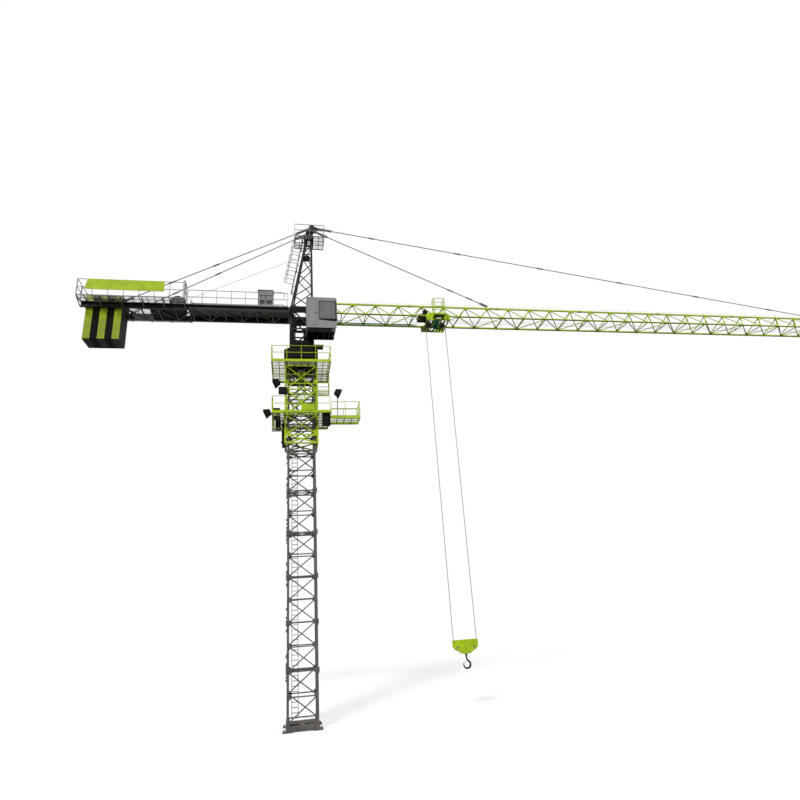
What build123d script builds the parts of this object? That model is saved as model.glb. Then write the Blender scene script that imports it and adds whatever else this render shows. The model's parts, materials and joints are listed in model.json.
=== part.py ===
# Tower crane with a hammerhead jib, a pointed tower head and a climbing cage on the mast.
# Scale model at 1:2. All sizes are the model's, in millimetres.
# The origin is on the ground under the middle of the mast. +X runs out along the jib,
# +Z is up, and the cab is on the -Y side.
import os
from math import atan2, cos, radians, sin

from build123d import *

os.makedirs("parts", exist_ok=True)

# Mast: leg spacing, leg size, section height and number of sections
leg_pitch = 900.0
leg_size = 70.0
section_height = 1400.0
section_count = 8
lace_width = 34.0
lace_depth = 40.0
collar_height = 110.0
collar_proud = 8.0
lug_width = 50.0
lug_depth = 34.0
lug_height = 70.0
lug_offsets = (-230.0, 160.0, 420.0)
mast_ladder_width = 200.0
mast_ladder_x = -230.0
ladder_bar = 18.0
ladder_depth = 24.0
rung_pitch = 150.0

# Mast base: frame beams, corner plates and anchor holes
base_height = 225.0
base_beam_width = 120.0
base_beam_height = 150.0
base_post = 110.0
base_plate = 300.0
base_plate_thick = 30.0
anchor_pitch = 220.0
anchor_radius = 11.0

# Climbing cage around the top of the mast
cage_bottom = 8850.0
cage_top = 11820.0
cage_pitch = 1120.0
cage_post = 60.0
cage_bar = 44.0
cage_bar_depth = 30.0
cage_levels = (9180.0, 9900.0, 10880.0)
cage_shoe_heights = (9250.0, 11150.0)
cage_shoe_height = 120.0
shoe_lap = 45.0
shoe_tuck = 10.0
deck_thick = 15.0
deck_kerb = 60.0
top_deck_half = 1060.0
mid_deck_half = 1020.0
deck_hole_gap = 10.0
deck_bearer = 26.0
deck_bearer_pitch = 265.0
extension_start = 1040.0
extension_end = 2120.0
extension_half_width = 420.0
rail_height = 550.0
rail_bar = 18.0
rail_depth = 18.0
rail_post_pitch = 520.0
rail_corner_gap = 12.0

# Climbing unit on the -X side of the cage, its pump, side platform and name panel
ram_radius = 55.0
ram_bottom = 9000.0
ram_top = 9760.0
ram_beam_height = 130.0
ram_beam_depth = 90.0
pump_size = (240.0, 420.0, 300.0)
pump_round = 30.0
tank_size = (280.0, 240.0, 460.0)
tank_x = 860.0
tank_y = -760.0
valve_size = (180.0, 260.0, 340.0)
control_box = (120.0, 160.0, 130.0)
control_box_z = 10740.0
side_platform_z = 9420.0
side_platform_y = (-540.0, -140.0)
cage_panel_x = (0.0, 460.0)
cage_panel_height = 210.0
cage_panel_thick = 10.0

# Floodlights on the cage: housing, bracket, and the place of each lamp
lamp_length = 150.0
lamp_width = 200.0
lamp_height = 190.0
lamp_tilt = 25.0
lamp_bracket = 24.0
upper_lamp = (-850.0, -560.0, 11130.0)
outer_lamp = (-1145.0, -700.0, 9940.0)
landing_lamp = (-360.0, 10830.0)

# Slewing support, ring and turntable
support_flange = 1000.0
support_flange_thick = 30.0
support_top_size = 1160.0
support_top_z = 12050.0
support_top_thick = 60.0
support_wall = 25.0
support_box_height = 200.0
support_chamfer = 150.0
support_hole_radius = 330.0
ring_outer_radius = 500.0
ring_inner_radius = 430.0
ring_height = 60.0
tooth_count = 72
tooth_height = 22.0
tooth_width = 22.0
tooth_slope = 75.0
tooth_root = 2.0
slew_gap = 5.0
race_clearance = 0.3
manhole_radius = 125.0
race_wall = 50.0
turntable_size = 1240.0
turntable_chamfer = 190.0
turntable_top = 12500.0
turntable_plate = 40.0
motor_radius = 75.0
motor_height = 330.0
motor_spacing = 420.0
motor_neck_radius = 52.0
motor_neck_height = 110.0

# Slewing tower between the turntable and the jib
tower_leg = 70.0
tower_lace = 48.0
gusset_size = 300.0
tower_foot = 60.0
tower_front_x = 440.0
tower_rear_x = -375.0
tower_half_width = 385.0
tower_top = 14250.0
tower_beam_depth = 60.0

# Tower head
head_top_z = 17900.0
head_top_rear_x = 300.0
head_top_half_width = 157.0
head_leg = 60.0
head_lace = 30.0
head_lace_depth = 30.0
head_bays = 7
head_lace_margin = 0.02
sheave_node = 5
cap_thick = 60.0
cap_overhang = 40.0
head_plate_thick = 24.0
head_deck_z = 17525.0
head_deck_rear = -235.0
head_deck_front = 950.0
head_deck_half_width = 450.0
head_rail_height = 560.0
tie_gap_half_width = 235.0
hatch_rim = 50.0
hatch_length = 230.0
hatch_width = 280.0
head_ladder_width = 200.0
head_ladder_gap = 110.0
head_ladder_bottom = 0.22
hoop_radius = 190.0
hoop_thick = 16.0
hoop_count = 6
hoop_start = 0.36
hoop_back = 190.0
hoop_strap_angle = 50.0
head_bracket_shares = (0.28, 0.55, 0.82)
head_sheave_radius = 140.0
head_sheave_width = 50.0
rope_y = 70.0
head_ladder_y = -140.0
sheave_shaft_radius = 22.0

# Jib: triangular lattice, seven sections of four bays
jib_node_x = 625.0
jib_section = 3750.0
jib_sections = 7
jib_bays = 4
chord_spread = 920.0
bottom_chord = 50.0
top_chord = 56.0
bottom_chord_z = 14065.0
top_chord_z = 14735.0
jib_lace = 30.0
jib_lace_depth = 26.0
runway_width = 30.0
runway_thick = 15.0
runway_start = 1420.0
stop_height = 90.0
stop_thick = 30.0
joint_lug_length = 150.0
joint_lug_rise = 16.0
lifeline_height = 110.0
lifeline_bar = 14.0
lifeline_share = 1.5

# Ties
tie_radius = 17.0
coupler_radius = 30.0
coupler_length = 260.0
pin_radius = 18.0
pin_clearance = 0.3
fork_cheek = 16.0
fork_length = 300.0
fork_height = 76.0
inner_tie_pin = (575.0, 18095.0)
outer_tie_pin = (720.0, 18235.0)
rear_tie_pin = (330.0, 150.0, 18095.0)
inner_tie_node = 7
outer_tie_node = 24
lug_pin_height = 85.0
tie_sides = 8
head_fork_length = 560.0
fork_clearance = 2.0
cap_peak = 170.0
inner_couplers = (6140.0, 7000.0)
rear_couplers = (4060.0, 5840.0)
outer_coupler_start = 2250.0
outer_coupler_pitch = 3750.0
outer_coupler_count = 6
counter_lug_x = -6260.0

# Counter-jib
beam_height = 215.0
beam_width = 90.0
beam_wall = 15.0
beam_top = 14250.0
beam_spread = 900.0
beam_end = -7750.0
brace_width = 46.0
brace_depth = 50.0
brace_bays = 10
walk_start = -4150.0
walk_end = -7765.0
walk_half_width = 950.0
walk_strut = 30.0
walk_strut_thick = 24.0
walk_bracket_count = 6
walk_rail_height = 640.0
deck_rail_height = 590.0
sign_front = -4850.0
sign_rear = -7475.0
sign_low = 225.0
sign_slant = 60.0
sign_thick = 10.0
weight_front = -6360.0
slab_thick = 242.0
slab_count = 5
slab_bottom = 12805.0
slab_half_width = 395.0
slab_head_half_width = 480.0
slab_head_height = 250.0
slab_edge = 18.0

# Hoist winch and electric cabinet
winch_x = -4520.0
drum_radius = 190.0
drum_flange_radius = 270.0
drum_length = 560.0
winch_bed = 60.0
winch_bed_length = 1200.0
winch_stand = 60.0
motor_box = (420.0, 260.0, 300.0)
cabinet_size = (550.0, 300.0, 735.0)
cabinet_x = -1325.0
cabinet_y = -250.0
cabinet_rib = 18.0
cabinet_rib_count = 6
cabinet_rib_proud = 6.0

# Hoist rope
rope_radius = 6.0
rope_sheave_gap = 6.0

# Cab
cab_rear = 190.0
cab_front = 1310.0
cab_bottom = 13080.0
cab_top = 14340.0
cab_inner_y = -500.0
cab_outer_y = -1150.0
cab_wall = 24.0
cab_round = 70.0
cab_nose = 60.0
cab_nose_height = 260.0
window_rear = 640.0
window_low = 13440.0
window_high = 14200.0
window_round = 60.0
pane_thick = 10.0
pane_clearance = 0.3
cab_base_height = 150.0
cab_base_inset = 30.0
cab_base_wall = 40.0
cab_rib_count = 4
tower_landing_z = 12720.0
tower_landing_length = 360.0
tower_landing_width = 420.0

# Trolley
trolley_x = 5375.0
wheel_radius = 60.0
wheel_width = 24.0
wheel_gap = 0.3
wheel_pin_radius = 14.0
wheel_base = 600.0
side_plate_gap = 10.0
side_plate_thick = 16.0
side_plate_length = 960.0
trolley_low = 13850.0
trolley_bar = 40.0
fall_spread = 804.0
fall_pair = 50.0
sheave_radius = 110.0
sheave_width = 80.0
plate_window_length = 250.0
plate_window_height = 120.0
basket_length = 455.0
basket_width = 300.0
basket_floor_z = 13950.0
basket_height = 700.0

# Trolley winch in the jib
trolley_winch_x = 4890.0
trolley_bed_length = 460.0
trolley_drum_radius = 110.0
trolley_drum_length = 300.0
trolley_motor = (190.0, 200.0, 400.0)
trolley_motor_neck = (90.0, 70.0, 130.0)
trolley_motor_gap = 15.0

# Hook block
block_axle_z = 1900.0
block_cheek_gap = 6.0
block_cheek = 16.0
block_half_length = 430.0
block_low = 1690.0
block_high = 2120.0
hook_bore_radius = 85.0
hook_wall = 62.0
hook_thick = 56.0
hook_shank_radius = 34.0
hook_drop = 330.0
block_foot_half = 143.0
block_foot_height = 22.0

# Heights and places worked out from the driving sizes
mast_height = section_count * section_height
mast_top = base_height + mast_height
mast_face = (leg_pitch + leg_size) / 2
joint_heights = [base_height + section_height * count for count in range(1, section_count)]
jib_bay = jib_section / jib_bays
jib_length = jib_sections * jib_section
jib_end = jib_node_x + jib_length
bay_count = jib_sections * jib_bays
chord_half = chord_spread / 2
jib_start = tower_front_x + tower_leg / 2 + tower_beam_depth
counter_start = tower_rear_x - tower_leg / 2 - tower_beam_depth
beam_inner = beam_spread / 2 - beam_width / 2
beam_outer = beam_spread / 2 + beam_width / 2
beam_low = beam_top - beam_height
floor_z = beam_top + deck_thick
weight_rear = weight_front - slab_count * slab_thick
head_height = head_top_z - tower_top


def unit(vector):
    """The vector shortened to length one."""
    return Vector(*vector).normalized()


def draw_bars(bars, width):
    """Draw straight bars by their centre lines into the open sketch, fused where they meet."""
    for start, end in bars:
        with BuildLine() as axis:
            Line(start, end)
        trace(axis.line, line_width=width)


def lattice(plane, bars, width, depth, window_centre=None, window_size=None):
    """A flat panel of bars drawn on a plane, cut off square at the edges of its window."""
    with BuildPart() as panel:
        with BuildSketch(plane):
            draw_bars(bars, width)
            if window_size:
                with Locations(window_centre):
                    Rectangle(*window_size, mode=Mode.INTERSECT)
        extrude(amount=depth / 2, both=True)
    return panel.part


def railing(plane, length, height, pitch=rail_post_pitch):
    """A flat guard rail standing on the plane's X axis: posts with a top, middle and foot rail."""
    panes = max(1, round(length / pitch))
    pane_length = (length - (panes + 1) * rail_bar) / panes
    pane_height = (height - 3 * rail_bar) / 2
    with BuildPart() as panel:
        with BuildSketch(plane):
            with Locations((0, height / 2)):
                Rectangle(length, height)
                with GridLocations(pane_length + rail_bar, pane_height + rail_bar, panes, 2):
                    Rectangle(pane_length, pane_height, mode=Mode.SUBTRACT)
        extrude(amount=rail_depth / 2, both=True)
    return panel.part


def ladder(plane, centre, length, width):
    """A flat ladder on a plane, up its Y axis from the centre of its foot: two stiles and the rungs."""
    spaces = int(length / rung_pitch)
    with BuildPart() as flat:
        with BuildSketch(plane):
            with Locations((centre[0], centre[1] + length / 2)):
                Rectangle(width + ladder_bar, length)
                with GridLocations(1, length / spaces, 1, spaces):
                    Rectangle(width - ladder_bar, length / spaces - ladder_bar, mode=Mode.SUBTRACT)
        extrude(amount=ladder_depth / 2, both=True)
    return flat.part


def cut_bays(x_low, x_high, y_low, y_high):
    """Cut the bays between a deck's bearers out of the open sketch, inside a rectangle."""
    count_x = max(1, round((x_high - x_low) / deck_bearer_pitch))
    count_y = max(1, round((y_high - y_low) / deck_bearer_pitch))
    bay_x = (x_high - x_low - deck_bearer) / count_x
    bay_y = (y_high - y_low - deck_bearer) / count_y
    with Locations(((x_low + x_high) / 2, (y_low + y_high) / 2)):
        with GridLocations(bay_x, bay_y, count_x, count_y):
            Rectangle(bay_x - deck_bearer, bay_y - deck_bearer, mode=Mode.SUBTRACT)


def cut_ring_bays(half, hole_half):
    """Cut the bays of a square deck with a square hole: full strips left and right, short ones between."""
    for side in (-1, 1):
        near, far = sorted((side * hole_half, side * half))
        cut_bays(near, far, -half, half)
        cut_bays(-hole_half, hole_half, near, far)


def rail_ring(x_low, x_high, y_low, y_high, floor, height, sides="front back left right"):
    """Guard rails just inside the edges of a rectangular deck, one separate panel a side."""
    inset = rail_depth / 2
    length_x = x_high - x_low - 2 * (rail_depth + rail_corner_gap)
    length_y = y_high - y_low
    centre_x = (x_low + x_high) / 2
    centre_y = (y_low + y_high) / 2
    planes = {
        "front": (Plane((centre_x, y_low + inset, floor), x_dir=(1, 0, 0), z_dir=(0, -1, 0)), length_x),
        "back": (Plane((centre_x, y_high - inset, floor), x_dir=(1, 0, 0), z_dir=(0, -1, 0)), length_x),
        "left": (Plane((x_low + inset, centre_y, floor), x_dir=(0, 1, 0), z_dir=(1, 0, 0)), length_y),
        "right": (Plane((x_high - inset, centre_y, floor), x_dir=(0, 1, 0), z_dir=(1, 0, 0)), length_y),
    }
    return [railing(*planes[side], height) for side in sides.split()]


def finish(part, name):
    """Name a sub-part and write it."""
    part.label = name
    export_step(part, f"parts/{name}.step")


# Mast base: a square frame with a cross, on four anchored plates
with BuildPart() as mast_base:
    with BuildSketch():
        with GridLocations(leg_pitch, leg_pitch, 2, 2):
            Rectangle(base_plate, base_plate)
            with GridLocations(anchor_pitch, anchor_pitch, 2, 2):
                Circle(anchor_radius, mode=Mode.SUBTRACT)
    extrude(amount=base_plate_thick)
    with BuildSketch():
        Rectangle(leg_pitch + base_beam_width, leg_pitch + base_beam_width)
        Rectangle(leg_pitch - base_beam_width, leg_pitch - base_beam_width, mode=Mode.SUBTRACT)
        Rectangle(leg_pitch, base_beam_width)
        Rectangle(base_beam_width, leg_pitch)
    extrude(amount=base_beam_height)
    with BuildSketch():
        with GridLocations(leg_pitch, leg_pitch, 2, 2):
            Rectangle(base_post, base_post)
    extrude(amount=base_height)
finish(mast_base.part, "mast_base")

# Mast legs, with a collar at each joint and the lugs that the climbing beam pushes against
with BuildPart() as mast_legs:
    with BuildSketch(Plane.XY.offset(base_height)):
        with GridLocations(leg_pitch, leg_pitch, 2, 2):
            Rectangle(leg_size, leg_size)
    extrude(amount=mast_height)
    for joint in joint_heights:
        with BuildSketch(Plane.XY.offset(joint - collar_height / 2)):
            with GridLocations(leg_pitch + collar_proud, leg_pitch + collar_proud, 2, 2):
                Rectangle(leg_size + collar_proud, leg_size + collar_proud)
        extrude(amount=collar_height)
        for lug_offset in lug_offsets:
            with BuildSketch(Plane.XY.offset(joint + lug_offset - lug_height / 2)):
                with Locations((-mast_face - lug_depth / 2, 0)):
                    with GridLocations(leg_pitch, leg_pitch, 1, 2):
                        Rectangle(lug_depth, lug_width)
            extrude(amount=lug_height)
finish(mast_legs.part, "mast_legs")


def mast_bars(hand):
    """Zigzag of one mast side: a cross bar at each joint and mid-height, diagonals between them."""
    half = leg_pitch / 2
    bars = [((-half, mast_top - lace_width / 2), (half, mast_top - lace_width / 2))]
    for count in range(section_count):
        low = base_height + count * section_height
        middle = low + section_height / 2
        foot = low if count else low + lace_width / 2
        bars.append(((-half, foot), (half, foot)))
        bars.append(((-half, middle), (half, middle)))
        bars.append(((-hand * half, low), (hand * half, middle)))
        bars.append(((hand * half, middle), (-hand * half, low + section_height)))
    return bars


def mast_side(plane, hand):
    """One lattice side of the mast, cut off flush between the legs."""
    centre = (0, base_height + mast_height / 2)
    window = (leg_pitch - leg_size, mast_height)
    return lattice(plane, mast_bars(hand), lace_width, lace_depth, centre, window)


finish(mast_side(Plane.XZ.offset(leg_pitch / 2), 1), "mast_side_front")
finish(mast_side(Plane.XZ.offset(-leg_pitch / 2), -1), "mast_side_back")
finish(mast_side(Plane.YZ.offset(-leg_pitch / 2), 1), "mast_side_left")
finish(mast_side(Plane.YZ.offset(leg_pitch / 2), -1), "mast_side_right")

# Level diamond bracing inside the mast at each joint
brace_half = leg_pitch / 2 - lace_depth / 2
diamond = [(brace_half, 0), (0, brace_half), (-brace_half, 0), (0, -brace_half), (brace_half, 0)]
diaphragm_bars = [*zip(diamond, diamond[1:]), ((-brace_half, 0), (brace_half, 0))]
with BuildPart() as mast_diaphragms:
    for joint in joint_heights:
        with BuildSketch(Plane.XY.offset(joint)):
            draw_bars(diaphragm_bars, lace_width)
            Rectangle(2 * brace_half, 2 * brace_half, mode=Mode.INTERSECT)
        extrude(amount=lace_width / 2, both=True)
finish(mast_diaphragms.part, "mast_diaphragms")

# Ladder up the inside of the back of the mast
ladder_plane = Plane.XZ.offset(ladder_depth / 2 - brace_half)
mast_ladder_foot = (mast_ladder_x, base_height)
finish(ladder(ladder_plane, mast_ladder_foot, mast_height, mast_ladder_width), "mast_ladder")

# Climbing cage: corner posts with the shoes that ride on the mast legs
cage_half = cage_pitch / 2
shoe_depth = cage_half - cage_post / 2 - mast_face
shoe_length = shoe_lap + shoe_depth + shoe_tuck
shoe_near = 2 * mast_face + shoe_depth
shoe_far = 2 * (mast_face - shoe_lap) + shoe_length
with BuildPart() as cage_posts:
    with BuildSketch(Plane.XY.offset(cage_bottom)):
        with GridLocations(cage_pitch, cage_pitch, 2, 2):
            Rectangle(cage_post, cage_post)
    extrude(amount=cage_top - cage_bottom)
    for shoe_z in cage_shoe_heights:
        with BuildSketch(Plane.XY.offset(shoe_z)):
            with GridLocations(shoe_near, shoe_far, 2, 2):
                Rectangle(shoe_depth, shoe_length)
            with GridLocations(shoe_far, shoe_near, 2, 2):
                Rectangle(shoe_length, shoe_depth)
        extrude(amount=cage_shoe_height)
finish(cage_posts.part, "cage_posts")


def cage_bars():
    """Cross bars and crossed braces of one side of the climbing cage."""
    levels = [cage_bottom + cage_bar / 2, *cage_levels, cage_top - cage_bar / 2]
    bars = [((-cage_half, level), (cage_half, level)) for level in levels]
    for low, high in zip(levels, levels[1:]):
        bars.append(((-cage_half, low), (cage_half, high)))
        bars.append(((-cage_half, high), (cage_half, low)))
    return bars


# Four lattice sides between the cage posts, each a separate flat panel
cage_centre = (0, (cage_bottom + cage_top) / 2)
cage_window = (cage_pitch - cage_post, cage_top - cage_bottom)
cage_planes = [
    Plane.XZ.offset(cage_half),
    Plane.XZ.offset(-cage_half),
    Plane.YZ.offset(cage_half),
    Plane.YZ.offset(-cage_half),
]
with BuildPart() as cage_sides:
    for plane in cage_planes:
        add(lattice(plane, cage_bars(), cage_bar, cage_bar_depth, cage_centre, cage_window))
finish(cage_sides.part, "cage_sides")

# Upper working deck, on top of the cage posts, open around the mast
cage_hole = 2 * (cage_half + cage_post / 2)
deck_hole = cage_pitch - cage_post - 2 * deck_hole_gap
with BuildPart() as cage_deck_top:
    with BuildSketch(Plane.XY.offset(cage_top)):
        Rectangle(2 * top_deck_half, 2 * top_deck_half)
        Rectangle(deck_hole, deck_hole, mode=Mode.SUBTRACT)
        cut_ring_bays(top_deck_half, deck_hole / 2)
    extrude(amount=deck_thick)
    with BuildSketch(Plane.XY.offset(cage_top - deck_kerb)):
        Rectangle(2 * top_deck_half, 2 * top_deck_half)
        Rectangle(2 * (top_deck_half - rail_depth), 2 * (top_deck_half - rail_depth), mode=Mode.SUBTRACT)
    extrude(amount=deck_kerb)
finish(cage_deck_top.part, "cage_deck_top")

with BuildPart() as cage_rails_top:
    for panel in rail_ring(
        -top_deck_half, top_deck_half, -top_deck_half, top_deck_half, cage_top + deck_thick, rail_height
    ):
        add(panel)
finish(cage_rails_top.part, "cage_rails_top")

# Middle working deck around the cage, with the long landing on the +X side
mid_deck_z = cage_levels[1]
with BuildPart() as cage_deck_mid:
    with BuildSketch(Plane.XY.offset(mid_deck_z)):
        Rectangle(2 * mid_deck_half, 2 * mid_deck_half)
        with Locations(((mid_deck_half + extension_end) / 2, 0)):
            Rectangle(extension_end - mid_deck_half, 2 * extension_half_width)
        Rectangle(cage_hole, cage_hole, mode=Mode.SUBTRACT)
        cut_ring_bays(mid_deck_half, cage_hole / 2)
        cut_bays(mid_deck_half, extension_end, -extension_half_width, extension_half_width)
    extrude(amount=deck_thick)
    with BuildSketch(Plane.XY.offset(mid_deck_z - deck_kerb)):
        Rectangle(2 * mid_deck_half, 2 * mid_deck_half)
        with Locations(((mid_deck_half + extension_end) / 2, 0)):
            Rectangle(extension_end - mid_deck_half, 2 * extension_half_width)
        offset(amount=-rail_depth, mode=Mode.SUBTRACT)
    extrude(amount=deck_kerb)
    platform_low, platform_high = side_platform_y
    with BuildSketch(Plane.XY.offset(side_platform_z)):
        with Locations((-(mid_deck_half + cage_hole / 2) / 2, (platform_low + platform_high) / 2)):
            Rectangle(mid_deck_half - cage_hole / 2, platform_high - platform_low)
        cut_bays(-mid_deck_half, -cage_hole / 2, platform_low, platform_high)
    extrude(amount=deck_thick)
    with BuildSketch(Plane.XY.offset(side_platform_z)):
        with Locations((-mid_deck_half + rail_depth / 2, (platform_low + platform_high) / 2)):
            with GridLocations(1, platform_high - platform_low - rail_bar, 1, 2):
                Rectangle(rail_depth, rail_bar)
    extrude(amount=mid_deck_z - deck_kerb - side_platform_z)
finish(cage_deck_mid.part, "cage_deck_mid")

mid_rail_z = mid_deck_z + deck_thick
with BuildPart() as cage_rails_mid:
    for panel in rail_ring(
        -mid_deck_half, mid_deck_half, -mid_deck_half, mid_deck_half,
        mid_rail_z, rail_height, "front back left",
    ):
        add(panel)
    for panel in rail_ring(
        extension_start, extension_end, -extension_half_width, extension_half_width,
        mid_rail_z, rail_height, "front back right",
    ):
        add(panel)
    with BuildSketch(Plane.XZ.offset(mid_deck_half)):
        with Locations((sum(cage_panel_x) / 2, mid_rail_z + cage_panel_height / 2)):
            Rectangle(cage_panel_x[1] - cage_panel_x[0], cage_panel_height)
    extrude(amount=cage_panel_thick)
finish(cage_rails_mid.part, "cage_rails_mid")

# Climbing unit: hydraulic ram on a cross beam, and its pump on the middle deck
ram_x = -(cage_half + cage_post / 2) - ram_beam_depth / 2
with BuildPart() as climbing_unit:
    with BuildSketch(Plane.XY.offset(ram_bottom)):
        with Locations((ram_x, 0)):
            Rectangle(ram_beam_depth, 2 * cage_half)
    extrude(amount=ram_beam_height)
    with BuildSketch(Plane.XY.offset(ram_bottom + ram_beam_height)):
        with Locations((ram_x, 0)):
            Circle(ram_radius)
    extrude(amount=ram_top - ram_bottom - ram_beam_height)
finish(climbing_unit.part, "climbing_unit")

pump_x = -mid_deck_half + pump_size[0] / 2 + 2 * rail_depth
platform_x = -(mid_deck_half + cage_hole / 2) / 2
with BuildPart() as pump_unit:
    with BuildSketch(Plane.XY.offset(mid_deck_z + deck_thick)):
        with Locations((pump_x, -pump_size[1] / 2)):
            RectangleRounded(pump_size[0], pump_size[1], pump_round)
    extrude(amount=pump_size[2])
    with BuildSketch(Plane.XY.offset(side_platform_z + deck_thick)):
        with Locations((platform_x, sum(side_platform_y) / 2)):
            Rectangle(valve_size[0], valve_size[1])
    extrude(amount=valve_size[2])
    with BuildSketch(Plane.XY.offset(mid_deck_z - tank_size[2])):
        with Locations((tank_x, tank_y)):
            Rectangle(tank_size[0], tank_size[1])
    extrude(amount=tank_size[2])
    with BuildSketch(Plane.XY.offset(control_box_z)):
        with Locations((-(cage_hole + control_box[0]) / 2, -cage_half)):
            Rectangle(control_box[0], control_box[1])
    extrude(amount=control_box[2])
finish(pump_unit.part, "pump_unit")


def lamp(place, bracket_start, tilt):
    """A floodlight: a tilted housing at the end of a straight bracket."""
    with BuildPart() as light:
        with BuildSketch(Plane.XZ.offset(-place[1])):
            with Locations((place[0], place[2])):
                Rectangle(lamp_length, lamp_height, rotation=tilt)
        extrude(amount=lamp_width / 2, both=True)
        with BuildSketch(Plane.XZ.offset(-place[1])):
            draw_bars([bracket_start], lamp_bracket)
        extrude(amount=lamp_bracket / 2, both=True)
    return light.part


# Floodlights: on the upper left corner post, outside the middle deck and over the landing
outer_bracket_z = mid_deck_z - deck_kerb / 2
landing_bays = round((extension_end - mid_deck_half) / deck_bearer_pitch)
landing_bay = (extension_end - mid_deck_half - deck_bearer) / landing_bays
landing_post_x = mid_deck_half + landing_bay + deck_bearer / 2
landing_place = (landing_post_x, *landing_lamp)
with BuildPart() as floodlights:
    add(lamp(upper_lamp, ((-cage_hole / 2, upper_lamp[2]), (upper_lamp[0], upper_lamp[2])), lamp_tilt))
    add(lamp(outer_lamp, ((-mid_deck_half, outer_bracket_z), (outer_lamp[0], outer_bracket_z)), lamp_tilt))
    add(lamp(landing_place, ((landing_post_x, mid_rail_z), (landing_post_x, landing_lamp[1])), -lamp_tilt))
finish(floodlights.part, "floodlights")

# Slewing support: braced legs on top of the mast, and a box with the fixed, toothed ring
support_low = mast_top + support_flange_thick
support_box_z = support_top_z - support_box_height
leg_span = leg_pitch - leg_size
support_diagonals = [
    ((-leg_span / 2, support_low), (leg_span / 2, support_box_z)),
    ((leg_span / 2, support_low), (-leg_span / 2, support_box_z)),
]
support_planes = [
    Plane.XZ.offset(leg_pitch / 2),
    Plane.XZ.offset(-leg_pitch / 2),
    Plane.YZ.offset(leg_pitch / 2),
    Plane.YZ.offset(-leg_pitch / 2),
]
with BuildPart() as slew_support:
    with BuildSketch(Plane.XY.offset(mast_top)):
        Rectangle(support_flange, support_flange)
        Rectangle(leg_span - leg_size, leg_span - leg_size, mode=Mode.SUBTRACT)
    extrude(amount=support_flange_thick)
    with BuildSketch(Plane.XY.offset(support_low)):
        with GridLocations(leg_pitch, leg_pitch, 2, 2):
            Rectangle(leg_size, leg_size)
    extrude(amount=support_top_z - support_low - support_top_thick)
    for plane in support_planes:
        brace_middle = (0, (support_low + support_box_z) / 2)
        brace_size = (leg_span, support_box_z - support_low)
        add(lattice(plane, support_diagonals, lace_width, lace_depth, brace_middle, brace_size))
    with BuildSketch(Plane.XY.offset(support_box_z)):
        Rectangle(support_top_size, support_top_size)
        chamfer(vertices(), support_chamfer)
        offset(amount=-support_wall, mode=Mode.SUBTRACT)
    extrude(amount=support_box_height)
    with BuildSketch(Plane.XY.offset(support_top_z - support_top_thick)):
        Rectangle(support_top_size, support_top_size)
        chamfer(vertices(), support_chamfer)
        Circle(support_hole_radius, mode=Mode.SUBTRACT)
    extrude(amount=support_top_thick)
    with BuildSketch(Plane.XY.offset(support_top_z)):
        Circle(ring_outer_radius)
        with PolarLocations(ring_outer_radius + (tooth_height - tooth_root) / 2, tooth_count):
            Trapezoid(tooth_width, tooth_height + tooth_root, tooth_slope, rotation=-90)
        Circle(ring_inner_radius, mode=Mode.SUBTRACT)
    extrude(amount=ring_height)
finish(slew_support.part, "slew_support")

# Turntable: the turning race inside the ring, and the box that carries the slewing tower
turn_low = support_top_z + ring_height + slew_gap
race_radius = ring_inner_radius - race_clearance
with BuildPart() as turntable:
    with BuildSketch(Plane.XY.offset(support_top_z + slew_gap)):
        Circle(race_radius)
        Circle(race_radius - race_wall, mode=Mode.SUBTRACT)
    extrude(amount=ring_height)
    with BuildSketch(Plane.XY.offset(turn_low)):
        Rectangle(turntable_size, turntable_size)
        chamfer(vertices(), turntable_chamfer)
        Circle(race_radius - race_wall, mode=Mode.SUBTRACT)
    extrude(amount=turntable_top - turntable_plate - turn_low)
    with BuildSketch(Plane.XY.offset(turntable_top - turntable_plate)):
        Rectangle(turntable_size, turntable_size)
        chamfer(vertices(), turntable_chamfer)
        Circle(manhole_radius, mode=Mode.SUBTRACT)
    extrude(amount=turntable_plate)
finish(turntable.part, "turntable")

# Two slewing motors standing on the turntable
with BuildPart() as slew_motors:
    with BuildSketch(Plane.XY.offset(turntable_top)):
        with GridLocations(1, motor_spacing, 1, 2):
            Circle(motor_radius)
    extrude(amount=motor_height)
    with BuildSketch(Plane.XY.offset(turntable_top + motor_height)):
        with GridLocations(1, motor_spacing, 1, 2):
            Circle(motor_neck_radius)
    extrude(amount=motor_neck_height)
finish(slew_motors.part, "slew_motors")

# Slewing tower: four legs, lattice sides and the beams that carry the jib and the counter-jib
tower_mid_x = (tower_front_x + tower_rear_x) / 2
tower_length = tower_front_x - tower_rear_x
tower_height = tower_top - turntable_top
with BuildPart() as slew_tower_legs:
    with BuildSketch(Plane.XY.offset(turntable_top)):
        with Locations((tower_mid_x, 0)):
            with GridLocations(tower_length, 2 * tower_half_width, 2, 2):
                Rectangle(tower_leg, tower_leg)
    extrude(amount=tower_height)
finish(slew_tower_legs.part, "slew_tower_legs")


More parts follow.
